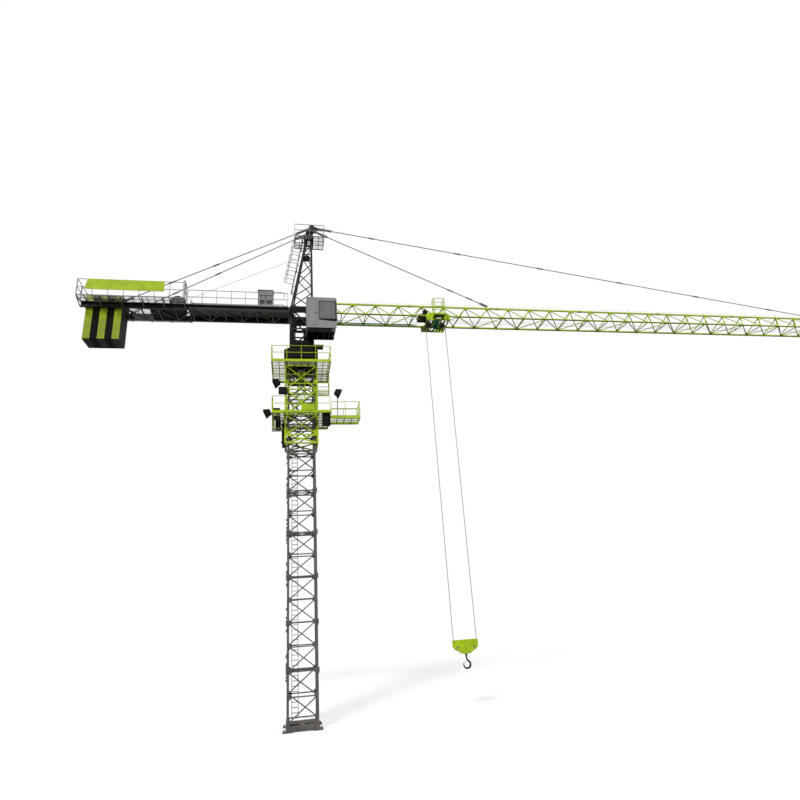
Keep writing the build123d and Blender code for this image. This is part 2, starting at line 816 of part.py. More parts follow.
def tower_side(plane, centre, length):
    """One side of the slewing tower: three cross bars, braces between them and corner gussets."""
    low = turntable_top + tower_foot
    levels = [low + tower_lace / 2, (low + tower_top) / 2, tower_top - tower_lace / 2]
    half = (length - tower_leg) / 2
    bars = [((centre - half, level), (centre + half, level)) for level in levels]
    bars.append(((centre - half, levels[0]), (centre + half, levels[1])))
    bars.append(((centre - half, levels[2]), (centre + half, levels[1])))
    with BuildPart() as panel:
        with BuildSketch(plane):
            draw_bars(bars, tower_lace)
            for hand in (-1, 1):
                for level, rise in ((low, gusset_size), (tower_top, -gusset_size)):
                    corner = centre + hand * half
                    inner = corner - hand * gusset_size
                    with BuildLine():
                        Polyline((corner, level), (inner, level), (corner, level + rise), close=True)
                    make_face()
            with Locations((centre, (low + tower_top) / 2)):
                Rectangle(2 * half, tower_top - low, mode=Mode.INTERSECT)
        extrude(amount=tower_leg / 4, both=True)
    return panel.part


with BuildPart() as slew_tower_sides:
    add(tower_side(Plane.XZ.offset(tower_half_width), tower_mid_x, tower_length))
    add(tower_side(Plane.XZ.offset(-tower_half_width), tower_mid_x, tower_length))
    add(tower_side(Plane.YZ.offset(tower_rear_x), 0, 2 * tower_half_width))
    add(tower_side(Plane.YZ.offset(tower_front_x), 0, 2 * tower_half_width))
finish(slew_tower_sides.part, "slew_tower_sides")

with BuildPart() as slew_tower_beams:
    with BuildSketch(Plane.XY.offset(turntable_top)):
        with Locations((tower_mid_x, 0)):
            Rectangle(tower_length + tower_leg, 2 * tower_half_width + tower_leg)
            Rectangle(tower_length - tower_leg, 2 * tower_half_width - tower_leg, mode=Mode.SUBTRACT)
            with GridLocations(tower_length, 2 * tower_half_width, 2, 2):
                Rectangle(tower_leg, tower_leg, mode=Mode.SUBTRACT)
    extrude(amount=tower_foot)
    with BuildSketch(Plane.YZ.offset(jib_start - tower_beam_depth)):
        with Locations((0, bottom_chord_z)):
            Rectangle(chord_spread + bottom_chord, 2 * bottom_chord)
    extrude(amount=tower_beam_depth)
    with BuildSketch(Plane.YZ.offset(counter_start)):
        with Locations((0, (beam_low + beam_top) / 2)):
            Rectangle(2 * beam_outer, beam_height)
    extrude(amount=tower_beam_depth)
finish(slew_tower_beams.part, "slew_tower_beams")


def head_point(share, front, side):
    """A point on one head leg's centre line, at a share of the head's height."""
    top_x = tower_front_x if front else head_top_rear_x
    foot_x = tower_front_x if front else tower_rear_x
    half = tower_half_width + (head_top_half_width - tower_half_width) * share
    return (foot_x + (top_x - foot_x) * share, side * half, tower_top + head_height * share)


# Tower head legs, leaning together towards the top, cut level at both ends
with BuildPart() as head_legs:
    for front in (True, False):
        for side in (-1, 1):
            with BuildSketch(Plane.XY.offset(tower_top)):
                with Locations(head_point(0, front, side)[:2]):
                    Rectangle(head_leg, head_leg)
            with BuildSketch(Plane.XY.offset(head_top_z)):
                with Locations(head_point(1, front, side)[:2]):
                    Rectangle(head_leg, head_leg)
            loft()
finish(head_legs.part, "head_legs")


def head_panel(corner, across_end, up_end, points):
    """One lattice side of the head, on the plane of its two legs, cut back to them."""
    across = Vector(*across_end) - Vector(*corner)
    rise = Vector(*up_end) - Vector(*corner)
    plane = Plane(origin=corner, x_dir=unit(across), z_dir=unit(across.cross(rise)))
    flat = [plane.to_local_coords(Vector(*point)) for point in points]
    bars = [((a.X, a.Y), (b.X, b.Y)) for a, b in zip(flat, flat[1:])]
    return lattice(plane, bars, head_lace, head_lace_depth)


def node_share(count):
    """How far up the head a lacing node lies, from just above its foot to just below its top."""
    return head_lace_margin + (1 - 2 * head_lace_margin) * count / head_bays


def head_node(count, front, side, along):
    """A lacing node on the inner edge of a head leg, facing its neighbour along X or Y."""
    x, y, z = head_point(node_share(count), front, side)
    if along == "x":
        return (x + (-head_leg / 2 if front else head_leg / 2), y, z)
    return (x, y - side * head_leg / 2, z)


def head_zigzag(ends, along):
    """Points of a zigzag up one side of the head, from one leg to the other."""
    return [head_node(count, *ends[count % 2], along) for count in range(head_bays + 1)]


with BuildPart() as head_lacing:
    for side in (-1, 1):
        points = head_zigzag(((True, side), (False, side)), "x")
        points.insert(sheave_node, head_node(sheave_node, True, side, "x"))
        points.insert(sheave_node, head_node(sheave_node, False, side, "x"))
        across_end = head_point(0, False, side)
        add(head_panel(head_point(0, True, side), across_end, head_point(1, True, side), points))
    for front in (True, False):
        points = head_zigzag(((front, -1), (front, 1)), "y")
        add(head_panel(head_point(0, front, -1), head_point(0, front, 1), head_point(1, front, -1), points))
    add(head_legs.part, mode=Mode.SUBTRACT)
finish(head_lacing.part, "head_lacing")


def tie_plane(start, end):
    """A plane along a tie: its X axis runs from start to end, and its Z axis is level."""
    along = Vector(*end) - Vector(*start)
    return Plane(origin=start, x_dir=along, z_dir=along.cross(Vector(0, 0, 1)))


def rear_pins(side):
    """The upper and lower pin of one rear tie."""
    upper = (rear_tie_pin[0], side * rear_tie_pin[1], rear_tie_pin[2])
    return upper, (counter_lug_x, side * beam_spread / 2, counter_pin_z)


def tie(start, end, plate_thick, couplers):
    """A tie rod between two pins: a long fork at the head, a short one at the foot, and sleeves."""
    plane = tie_plane(start, end)
    length = (Vector(*end) - Vector(*start)).length
    cheek_outer = plate_thick / 2 + fork_cheek
    with BuildPart() as rod:
        rod_start = plane.from_local_coords((head_fork_length, 0, 0))
        with BuildSketch(Plane(origin=rod_start, z_dir=plane.x_dir)):
            RegularPolygon(tie_radius, tie_sides)
        extrude(amount=length - head_fork_length - fork_length)
        for place in couplers:
            centre = plane.from_local_coords((place - coupler_length / 2, 0, 0))
            with BuildSketch(Plane(origin=centre, z_dir=plane.x_dir)):
                RegularPolygon(coupler_radius, tie_sides)
            extrude(amount=coupler_length)
        for place, reach in ((0, head_fork_length), (length, -fork_length)):
            with BuildSketch(plane):
                with Locations((place, 0)):
                    Circle(fork_height / 2)
                with Locations((place + reach / 2, 0)):
                    Rectangle(abs(reach) + coupler_radius, fork_height)
            extrude(amount=cheek_outer, both=True)
            with BuildSketch(plane):
                with Locations((place, 0)):
                    Circle(fork_height / 2 + fork_clearance)
                with Locations((place + reach / 4, 0)):
                    Rectangle(abs(reach) / 2 + fork_height, fork_height + 2 * fork_clearance)
            extrude(amount=plate_thick / 2, both=True, mode=Mode.SUBTRACT)
            with BuildSketch(plane):
                with Locations((place, 0)):
                    Circle(pin_radius)
            extrude(amount=cheek_outer, both=True)
    return rod.part


# Head cap: the plate over the legs, the middle plate for the jib ties and the rear lugs
def top_node(index):
    """The top chord's node above the middle of a bay."""
    return jib_node_x + jib_bay * (index + 0.5)


lug_pin_z = top_chord_z + top_chord / 2 + lug_pin_height
inner_start = (inner_tie_pin[0], 0, inner_tie_pin[1])
inner_end = (top_node(inner_tie_node), 0, lug_pin_z)
outer_start = (outer_tie_pin[0], 0, outer_tie_pin[1])
outer_end = (top_node(outer_tie_node), 0, lug_pin_z)
counter_pin_z = beam_top + lug_pin_height
hole_radius = pin_radius + pin_clearance
cap_low = head_top_z
cap_high = head_top_z + cap_thick
cap_rear = head_top_rear_x - head_leg / 2 - cap_overhang
cap_front = tower_front_x + head_leg / 2 + cap_overhang
cap_half_width = head_top_half_width + head_leg / 2 + cap_overhang
with BuildPart() as head_cap:
    with BuildSketch(Plane.XY.offset(cap_low)):
        with Locations(((cap_rear + cap_front) / 2, 0)):
            Rectangle(cap_front - cap_rear, 2 * cap_half_width)
    extrude(amount=cap_thick)
    with BuildSketch(Plane.XZ):
        with BuildLine():
            Polyline(
                (cap_rear, cap_high),
                (cap_front, cap_high),
                (inner_tie_pin[0] + fork_height / 2, inner_tie_pin[1] - fork_height / 2),
                (outer_tie_pin[0] + fork_height / 2, outer_tie_pin[1] - fork_height / 2),
                (outer_tie_pin[0] + fork_height / 2, outer_tie_pin[1] + fork_height / 2),
                (outer_tie_pin[0] - fork_height, outer_tie_pin[1] + fork_height),
                (tower_front_x + head_leg, outer_tie_pin[1] + cap_peak),
                (tower_front_x - head_leg / 2, outer_tie_pin[1] + cap_peak),
                (cap_rear, rear_tie_pin[2]),
                close=True,
            )
        make_face()
        with Locations(inner_tie_pin, outer_tie_pin):
            Circle(hole_radius, mode=Mode.SUBTRACT)
    extrude(amount=head_plate_thick / 2, both=True)
    for side in (-1, 1):
        start, end = rear_pins(side)
        plane = tie_plane(start, end)
        with BuildSketch(plane):
            Circle(fork_height / 2)
            drop = plane.to_local_coords(Vector(start[0], start[1], cap_low + cap_thick / 2))
            with BuildLine():
                Line((0, 0), (drop.X, drop.Y))
            trace(line_width=fork_height)
            Circle(hole_radius, mode=Mode.SUBTRACT)
        extrude(amount=head_plate_thick / 2, both=True)
finish(head_cap.part, "head_cap")

# Working deck around the top of the head, cut out around the legs, with a plated middle
deck_share = (head_deck_z - tower_top) / head_height
frame_rear = head_point(deck_share, False, 1)[0] - head_leg
frame_front = head_point(deck_share, True, 1)[0] + head_leg
frame_half = head_point(deck_share, True, 1)[1] + head_leg
hatch_low = head_ladder_y - hatch_width / 2
hatch_high = head_ladder_y + hatch_width / 2
hatch_front = head_deck_rear + hatch_rim + hatch_length
with BuildPart() as head_deck:
    with BuildSketch(Plane.XY.offset(head_deck_z)):
        with Locations(((head_deck_rear + head_deck_front) / 2, 0)):
            Rectangle(head_deck_front - head_deck_rear, 2 * head_deck_half_width)
        with Locations(((tower_front_x + head_top_rear_x) / 2, 0)):
            Rectangle(tower_front_x - head_top_rear_x, 2 * head_top_half_width, mode=Mode.SUBTRACT)
        with Locations((head_deck_rear + hatch_rim + hatch_length / 2, head_ladder_y)):
            Rectangle(hatch_length, hatch_width, mode=Mode.SUBTRACT)
        cut_bays(head_deck_rear, frame_rear, hatch_high, head_deck_half_width)
        cut_bays(head_deck_rear, frame_rear, -head_deck_half_width, hatch_low)
        cut_bays(hatch_front, frame_rear, hatch_low, hatch_high)
        cut_bays(frame_front, head_deck_front, -head_deck_half_width, head_deck_half_width)
        cut_bays(frame_rear, frame_front, frame_half, head_deck_half_width)
        cut_bays(frame_rear, frame_front, -head_deck_half_width, -frame_half)
    extrude(amount=deck_thick)
    add(head_legs.part, mode=Mode.SUBTRACT)
    add(head_lacing.part, mode=Mode.SUBTRACT)
finish(head_deck.part, "head_deck")

# Guard rails of the head deck, open in the middle of both ends where the ties pass
head_rail_z = head_deck_z + deck_thick
end_rail_length = head_deck_half_width - tie_gap_half_width - rail_depth - rail_corner_gap
end_rail_y = tie_gap_half_width + end_rail_length / 2
with BuildPart() as head_rails:
    for side in (-1, 1):
        side_y = side * (head_deck_half_width - rail_depth / 2)
        side_plane = Plane(((head_deck_rear + head_deck_front) / 2, side_y, head_rail_z),
                           x_dir=(1, 0, 0), z_dir=(0, -1, 0))
        add(railing(side_plane, head_deck_front - head_deck_rear, head_rail_height))
        for end_x in (head_deck_rear + rail_depth / 2, head_deck_front - rail_depth / 2):
            end_plane = Plane((end_x, side * end_rail_y, head_rail_z), x_dir=(0, 1, 0), z_dir=(1, 0, 0))
            add(railing(end_plane, end_rail_length, head_rail_height))
finish(head_rails.part, "head_rails")

# Caged ladder up the rear of the head: rungs, brackets to the legs, and hoops behind the climber
rear_foot = Vector(tower_rear_x - head_leg / 2 - head_ladder_gap, head_ladder_y, tower_top)
rear_head = Vector(head_top_rear_x - head_leg / 2 - head_ladder_gap, head_ladder_y, head_top_z)
climb = rear_head - rear_foot
ladder_top_share = (head_deck_z - ladder_depth - tower_top) / head_height
ladder_low = rear_foot + climb * head_ladder_bottom
ladder_length = climb.length * (ladder_top_share - head_ladder_bottom)
climb_plane = Plane(origin=ladder_low, x_dir=(0, 1, 0), z_dir=Vector(0, 1, 0).cross(climb))


def hoop_plane(share):
    """A plane square to the ladder at a share of the head's height; its Y axis points rearwards."""
    return Plane(origin=rear_foot + climb * share, x_dir=(0, 1, 0), z_dir=climb)


hoop_reach = hoop_radius + hoop_back
hoop_rise = hoop_thick / climb.length
hoop_tilt = hoop_reach * climb.X / climb.Z
hoop_top_share = ladder_top_share - hoop_rise - hoop_tilt / head_height
with BuildPart() as head_ladder:
    add(ladder(climb_plane, (0, 0), ladder_length, head_ladder_width))
    for count in range(hoop_count):
        share = hoop_start + (hoop_top_share - hoop_start) * count / (hoop_count - 1)
        with BuildSketch(hoop_plane(share)):
            with Locations((0, hoop_back)):
                Circle(hoop_radius)
            with Locations((0, hoop_back / 2)):
                Rectangle(2 * hoop_radius, hoop_back)
            with Locations((0, hoop_back)):
                Circle(hoop_radius - hoop_thick, mode=Mode.SUBTRACT)
            with Locations((0, hoop_back / 2 + hoop_thick)):
                Rectangle(2 * (hoop_radius - hoop_thick), hoop_back, mode=Mode.SUBTRACT)
        extrude(amount=hoop_thick)
    for side in (-1, 0, 1):
        turn = radians(side * hoop_strap_angle)
        strap = hoop_radius - hoop_thick / 2
        with BuildSketch(hoop_plane(hoop_start)):
            with Locations((strap * sin(turn), hoop_back + strap * cos(turn))):
                Rectangle(hoop_thick, hoop_thick)
        extrude(amount=climb.length * (hoop_top_share + hoop_rise - hoop_start))
    for share in head_bracket_shares:
        leg_y = head_point(share, False, 1)[1]
        wide = abs(head_ladder_y) + (head_ladder_width + ladder_bar) / 2
        with BuildSketch(hoop_plane(share)):
            with Locations((-head_ladder_y, 0)):
                Rectangle(2 * max(leg_y, wide), ladder_depth)
                with Locations((0, -(head_ladder_gap + head_leg / 2) / 2)):
                    with GridLocations(2 * leg_y - ladder_depth, 1, 2, 1):
                        Rectangle(ladder_depth, head_ladder_gap + head_leg / 2)
        extrude(amount=hoop_thick)
    add(head_legs.part, mode=Mode.SUBTRACT)
finish(head_ladder.part, "head_ladder")

# Jib chords, with lugs at the section joints and the runways for the trolley
joint_x = [jib_node_x + jib_section * count for count in range(1, jib_sections)]
with BuildPart() as jib_bottom_chords:
    with BuildSketch(Plane.YZ.offset(jib_start)):
        with Locations((0, bottom_chord_z)):
            with GridLocations(chord_spread, 1, 2, 1):
                Rectangle(bottom_chord, bottom_chord)
    extrude(amount=jib_end - jib_start)
    runway_y = chord_half + bottom_chord / 2 + runway_width / 2
    runway_z = bottom_chord_z - bottom_chord / 2 + runway_thick / 2
    with BuildSketch(Plane.YZ.offset(runway_start)):
        with Locations((0, runway_z)):
            with GridLocations(2 * runway_y, 1, 2, 1):
                Rectangle(runway_width, runway_thick)
    extrude(amount=jib_end - runway_start)
    for joint in joint_x:
        with BuildSketch(Plane.YZ.offset(joint - joint_lug_length / 2)):
            with Locations((0, bottom_chord_z - (bottom_chord + joint_lug_rise) / 2)):
                with GridLocations(chord_spread, 1, 2, 1):
                    Rectangle(bottom_chord, joint_lug_rise)
        extrude(amount=joint_lug_length)
    for stop_x in (runway_start, jib_end - stop_thick):
        with BuildSketch(Plane.YZ.offset(stop_x)):
            with Locations((0, runway_z + (runway_thick + stop_height) / 2)):
                with GridLocations(2 * runway_y, 1, 2, 1):
                    Rectangle(runway_width, stop_height)
        extrude(amount=stop_thick)
finish(jib_bottom_chords.part, "jib_bottom_chords")

with BuildPart() as jib_top_chord:
    with BuildSketch(Plane.YZ.offset(top_node(0) - top_chord)):
        with Locations((0, top_chord_z)):
            Rectangle(top_chord, top_chord)
    extrude(amount=top_node(bay_count - 1) - top_node(0) + 2 * top_chord)
    for joint in joint_x:
        with BuildSketch(Plane.YZ.offset(joint - joint_lug_length / 2)):
            with Locations((0, top_chord_z)):
                Rectangle(top_chord + joint_lug_rise, top_chord + joint_lug_rise)
        extrude(amount=joint_lug_length)
        with BuildSketch(Plane.XZ):
            with Locations(
                (joint - lifeline_share * jib_bay, top_chord_z + (top_chord + lifeline_height) / 2)
            ):
                Rectangle(lifeline_bar, lifeline_height)
        extrude(amount=lifeline_bar / 2, both=True)
    for start, end in ((inner_start, inner_end), (outer_start, outer_end)):
        plane = tie_plane(start, end)
        pin = plane.to_local_coords(Vector(*end))
        seat = plane.to_local_coords(Vector(end[0], 0, top_chord_z))
        with BuildSketch(plane):
            with BuildLine():
                Line((pin.X, pin.Y), (seat.X, seat.Y))
            trace(line_width=fork_height)
            with Locations((pin.X, pin.Y)):
                Circle(fork_height / 2)
                Circle(hole_radius, mode=Mode.SUBTRACT)
        extrude(amount=head_plate_thick / 2, both=True)
finish(jib_top_chord.part, "jib_top_chord")


def jib_side(side):
    """One sloping lattice side of the jib: a zigzag from the bottom chord to the top chord."""
    foot = Vector(jib_node_x, side * chord_half, bottom_chord_z)
    slope = Vector(0, -side * chord_half, top_chord_z - bottom_chord_z)
    plane = Plane(origin=foot, x_dir=(1, 0, 0), z_dir=Vector(1, 0, 0).cross(slope))
    steepness = slope.length / slope.Z
    low = steepness * bottom_chord / 2
    high = slope.length - steepness * top_chord / 2
    bars = []
    for count in range(bay_count):
        top = (jib_bay * (count + 0.5), high)
        bars.append(((jib_bay * count, low), top))
        bars.append((top, (jib_bay * (count + 1), low)))
    return lattice(plane, bars, jib_lace, jib_lace_depth)


for side, name in ((-1, "near"), (1, "far")):
    with BuildPart() as jib_lacing:
        add(jib_side(side))
        with BuildSketch(Plane.YZ.offset(jib_node_x - jib_bay)):
            with Locations((side * chord_half, bottom_chord_z)):
                Rectangle(bottom_chord, bottom_chord)
            with Locations((0, top_chord_z)):
                Rectangle(top_chord, top_chord)
        extrude(amount=jib_length + 2 * jib_bay, mode=Mode.SUBTRACT)
    finish(jib_lacing.part, f"jib_side_{name}")

# Level lacing between the bottom chords
floor_half = chord_half - bottom_chord / 2
floor_bars = []
for count in range(bay_count + 1):
    node = jib_node_x + jib_bay * count
    floor_bars.append(((node, -chord_half), (node, chord_half)))
for count in range(bay_count):
    node = jib_node_x + jib_bay * count
    hand = 1 if count % 2 else -1
    floor_bars.append(((node, hand * chord_half), (node + jib_bay, -hand * chord_half)))
floor_centre = (jib_node_x + jib_length / 2, 0)
floor_window = (jib_length + 2 * jib_lace, 2 * floor_half)
floor_plane = Plane.XY.offset(bottom_chord_z)
jib_floor = lattice(floor_plane, floor_bars, jib_lace, jib_lace_depth, floor_centre, floor_window)
finish(jib_floor, "jib_floor")

finish(tie(inner_start, inner_end, head_plate_thick, inner_couplers), "jib_inner_tie")
outer_couplers = [outer_coupler_start + outer_coupler_pitch * count for count in range(outer_coupler_count)]
finish(tie(outer_start, outer_end, head_plate_thick, outer_couplers), "jib_outer_tie")

# Trolley winch inside the jib, on the floor lacing: bed, drum between cheeks, and upright motor
winch_floor_z = bottom_chord_z + jib_lace_depth / 2
trolley_drum_x = trolley_winch_x - trolley_bed_length / 2 + trolley_drum_radius
trolley_motor_x = trolley_drum_x + trolley_drum_radius + trolley_motor_gap + trolley_motor[0] / 2
with BuildPart() as trolley_winch:
    with BuildSketch(Plane.XY.offset(winch_floor_z)):
        with Locations((trolley_winch_x, 0)):
            Rectangle(trolley_bed_length, trolley_drum_length)
    extrude(amount=deck_thick)
    with BuildSketch(Plane.XZ):
        with Locations((trolley_drum_x, winch_floor_z + deck_thick + trolley_drum_radius)):
            Circle(trolley_drum_radius)
        with Locations((trolley_drum_x, winch_floor_z + deck_thick + trolley_drum_radius / 2)):
            Rectangle(2 * trolley_drum_radius, trolley_drum_radius)
    extrude(amount=trolley_drum_length / 2, both=True)
    with BuildSketch(Plane.XY.offset(winch_floor_z + deck_thick)):
        with Locations((trolley_motor_x, 0)):
            Rectangle(trolley_motor[0], trolley_motor[1])
    extrude(amount=trolley_motor[2])
    with BuildSketch(Plane.XY.offset(winch_floor_z + deck_thick + trolley_motor[2])):
        with Locations((trolley_motor_x, 0)):
            Rectangle(trolley_motor_neck[0], trolley_motor_neck[1])
    extrude(amount=trolley_motor_neck[2])
finish(trolley_winch.part, "trolley_winch")

# Counter-jib beams: two channels with their backs inwards
with BuildPart() as counter_beams:
    for side in (-1, 1):
        with BuildSketch(Plane.YZ.offset(beam_end)):
            with Locations((side * beam_spread / 2, (beam_low + beam_top) / 2)):
                Rectangle(beam_width, beam_height)
            with Locations((side * (beam_spread / 2 + beam_wall), (beam_low + beam_top) / 2)):
                Rectangle(beam_width, beam_height - 2 * beam_wall, mode=Mode.SUBTRACT)
        extrude(amount=counter_start - beam_end)
    for side in (-1, 1):
        start, end = rear_pins(side)
        plane = tie_plane(start, end)
        pin = plane.to_local_coords(Vector(*end))
        seat = plane.to_local_coords(Vector(end[0], end[1], beam_top - beam_wall / 2))
        with BuildSketch(plane):
            with BuildLine():
                Line((pin.X, pin.Y), (seat.X, seat.Y))
            trace(line_width=fork_height)
            with Locations((pin.X, pin.Y)):
                Circle(fork_height / 2)
                Circle(hole_radius, mode=Mode.SUBTRACT)
        extrude(amount=head_plate_thick / 2, both=True)
finish(counter_beams.part, "counter_beams")

# Level lacing between the counter-jib beams, up to the counterweights
brace_start = counter_start
brace_end = weight_front + deck_kerb
brace_bay = (brace_start - brace_end) / brace_bays
brace_bars = []
for count in range(brace_bays + 1):
    node = brace_start - brace_bay * count
    brace_bars.append(((node, -beam_inner), (node, beam_inner)))
for count in range(brace_bays):
    node = brace_start - brace_bay * count
    hand = 1 if count % 2 else -1
    brace_bars.append(((node, hand * beam_inner), (node - brace_bay, -hand * beam_inner)))
brace_plane = Plane.XY.offset(beam_low + brace_depth / 2)
brace_centre = ((brace_start + brace_end) / 2, 0)
brace_window = (brace_start - brace_end, 2 * beam_inner)
counter_bracing = lattice(brace_plane, brace_bars, brace_width, brace_depth, brace_centre, brace_window)
finish(counter_bracing, "counter_bracing")

# Decks: the inner deck on the beams, and a walkway on brackets along each side of the weights
walk_length = walk_start - walk_end
strut_pitch = (walk_length - 2 * walk_strut_thick) / (walk_bracket_count - 1)
with BuildPart() as counter_decks:
    with BuildSketch(Plane.XY.offset(beam_top)):
        with Locations(((counter_start + walk_start) / 2, 0)):
            Rectangle(counter_start - walk_start, 2 * beam_outer)
    extrude(amount=deck_thick)
    for side in (-1, 1):
        walk_y = side * (beam_outer + walk_half_width) / 2
        walk_sides = sorted((side * beam_outer, side * walk_half_width))
        with BuildSketch(Plane.XY.offset(beam_top - deck_thick)):
            with Locations(((walk_start + walk_end) / 2, walk_y)):
                Rectangle(walk_length, walk_half_width - beam_outer)
            cut_bays(walk_end, walk_start, *walk_sides)
        extrude(amount=deck_thick)
        strut_high = beam_top - deck_thick
        strut_tip = (side * walk_half_width, strut_high - walk_strut / 2)
        strut_bars = [
            ((side * beam_outer, strut_high - walk_strut / 2), strut_tip),
            ((side * beam_outer, beam_low + walk_strut / 2), strut_tip),
        ]
        strut_centre = (walk_y, (beam_low + strut_high) / 2)
        strut_window = (walk_half_width - beam_outer, strut_high - beam_low)
        for count in range(walk_bracket_count):
            plane = Plane.YZ.offset(walk_start - walk_strut_thick - strut_pitch * count)
            add(lattice(plane, strut_bars, walk_strut, walk_strut_thick, strut_centre, strut_window))
    rear_strip = weight_rear - beam_end - rail_corner_gap
    with BuildSketch(Plane.XY.offset(beam_top)):
        with Locations((beam_end + rear_strip / 2, 0)):
            Rectangle(rear_strip, 2 * beam_outer - deck_thick)
    extrude(amount=deck_thick)
finish(counter_decks.part, "counter_decks")

# Guard rails: along the inner deck and around the walkways
deck_length = counter_start - walk_start
with BuildPart() as counter_rails:
    for side in (-1, 1):
        deck_middle = ((counter_start + walk_start) / 2, side * (beam_outer - rail_depth / 2), floor_z)
        deck_plane = Plane(deck_middle, x_dir=(1, 0, 0), z_dir=(0, -1, 0))
        add(railing(deck_plane, deck_length - 2 * rail_corner_gap, deck_rail_height))
        walk_middle = ((walk_start + walk_end) / 2, side * (walk_half_width - rail_depth / 2), beam_top)
        walk_plane = Plane(walk_middle, x_dir=(1, 0, 0), z_dir=(0, -1, 0))
        add(railing(walk_plane, walk_length, walk_rail_height))
        cross_length = walk_half_width - beam_outer - rail_depth - 2 * rail_corner_gap
        for cross_x in (walk_start - rail_depth / 2, walk_end + rail_depth / 2):
            cross_y = side * (walk_half_width + beam_outer - rail_depth) / 2
            cross_plane = Plane((cross_x, cross_y, beam_top), x_dir=(0, 1, 0), z_dir=(1, 0, 0))
            add(railing(cross_plane, cross_length, walk_rail_height))
    rear_plane = Plane((beam_end + rail_depth / 2, 0, floor_z), x_dir=(0, 1, 0), z_dir=(1, 0, 0))
    add(railing(rear_plane, 2 * beam_outer - 2 * rail_corner_gap, deck_rail_height))
finish(counter_rails.part, "counter_rails")

# Sign boards on the outer rails, left bare
with BuildPart() as sign_boards:
    for side in (-1, 1):
        face = Plane.XZ.offset(-side * walk_half_width)
        with BuildSketch(face):
            with BuildLine():
                Polyline(
                    (sign_rear, beam_top + sign_low),
                    (sign_front, beam_top + sign_low),
                    (sign_front, beam_top + walk_rail_height),
                    (sign_rear - sign_slant, beam_top + walk_rail_height),
                    close=True,
                )
            make_face()
        extrude(amount=-side * sign_thick)
finish(sign_boards.part, "sign_boards")


def slabs(indices):
    """Counterweight slabs hung between the beams, with heads that rest on them."""
    with BuildPart() as block:
        for index in indices:
            with BuildSketch(Plane.YZ.offset(weight_front - slab_thick * (index + 1))):
                with BuildLine():
                    Polyline(
                        (-slab_half_width, slab_bottom),
                        (slab_half_width, slab_bottom),
                        (slab_half_width, beam_top),
                        (slab_head_half_width, beam_top),
                        (slab_head_half_width, beam_top + slab_head_height),
                        (-slab_head_half_width, beam_top + slab_head_height),
                        (-slab_head_half_width, beam_top),
                        (-slab_half_width, beam_top),
                        close=True,
                    )
                make_face()
                low_corners = vertices().sort_by(Axis.Y)[:2]
                chamfer(low_corners, slab_edge)
            extrude(amount=slab_thick)
    return block.part


finish(slabs(range(0, slab_count, 2)), "counterweights_light")
finish(slabs(range(1, slab_count, 2)), "counterweights_dark")

# Hoist winch: bed, two stands, grooved drum between flanges, gearbox and motor
with BuildPart() as hoist_winch:
    bed_z = beam_low + brace_depth
    with BuildSketch(Plane.XY.offset(bed_z)):
        with Locations((winch_x + drum_flange_radius - winch_bed_length / 2, 0)):
            Rectangle(winch_bed_length, 2 * beam_inner)
    extrude(amount=winch_bed)
    drum_z = bed_z + winch_bed + drum_flange_radius
    with BuildSketch(Plane.XZ):
        with Locations((winch_x, drum_z)):
            Circle(drum_radius)
    extrude(amount=drum_length / 2, both=True)
    for side in (-1, 1):
        with BuildSketch(Plane.XZ.offset(-side * drum_length / 2)):
            with Locations((winch_x, drum_z)):
                Circle(drum_flange_radius)
            with Locations((winch_x, (bed_z + winch_bed + drum_z) / 2)):
                Rectangle(drum_radius, drum_z - bed_z - winch_bed)
        extrude(amount=-side * winch_stand / 2, both=True)
    with BuildSketch(Plane.XY.offset(bed_z + winch_bed)):
        with Locations((winch_x - drum_flange_radius - motor_box[0] / 3, 0)):
            Rectangle(motor_box[0] / 2, motor_box[1])
    extrude(amount=motor_box[2])
finish(hoist_winch.part, "hoist_winch")

# Electric cabinet on the inner deck, with ribbed sides
with BuildPart() as electric_cabinet:
    with BuildSketch(Plane.XY.offset(floor_z)):
        with Locations((cabinet_x, cabinet_y)):
            Rectangle(cabinet_size[0], cabinet_size[1])
    extrude(amount=cabinet_size[2])
    for count in range(1, cabinet_rib_count + 1):
        rib_z = floor_z + cabinet_size[2] * count / (cabinet_rib_count + 1)
        with BuildSketch(Plane.XY.offset(rib_z)):
            with Locations((cabinet_x, cabinet_y)):
                Rectangle(cabinet_size[0] + 2 * cabinet_rib_proud, cabinet_size[1] + 2 * cabinet_rib_proud)
        extrude(amount=cabinet_rib)
finish(electric_cabinet.part, "electric_cabinet")

with BuildPart() as counter_ties:
    for side in (-1, 1):
        add(tie(*rear_pins(side), head_plate_thick, rear_couplers))
finish(counter_ties.part, "counter_ties")


def rope(points):
    """Straight runs of rope from point to point, each its own round bar."""
    with BuildPart() as runs:
        for start, end in points:
            along = Vector(*end) - Vector(*start)
            with BuildSketch(Plane(origin=start, z_dir=along)):
                RegularPolygon(rope_radius, tie_sides)
            extrude(amount=along.length)
    return runs.part


# Sheaves that lead the hoist rope from the winch over the head and down to the jib
head_sheave_z = head_point(node_share(sheave_node), True, 1)[2]
head_sheave_x = tower_front_x - head_leg / 2 - head_sheave_radius - sheave_shaft_radius
shaft_half = head_point(node_share(sheave_node), True, 1)[1]
winch_top = (winch_x, rope_y, drum_z + drum_radius + rope_radius)
with BuildPart() as head_sheave:
    with BuildSketch(Plane.XZ.offset(-rope_y)):
        with Locations((head_sheave_x, head_sheave_z)):
            Circle(head_sheave_radius)
    extrude(amount=head_sheave_width / 2, both=True)
    with BuildSketch(Plane.XZ):
        with Locations((head_sheave_x, head_sheave_z)):
            Circle(sheave_shaft_radius)
    extrude(amount=shaft_half, both=True)
    add(head_lacing.part, mode=Mode.SUBTRACT)
finish(head_sheave.part, "head_sheave")

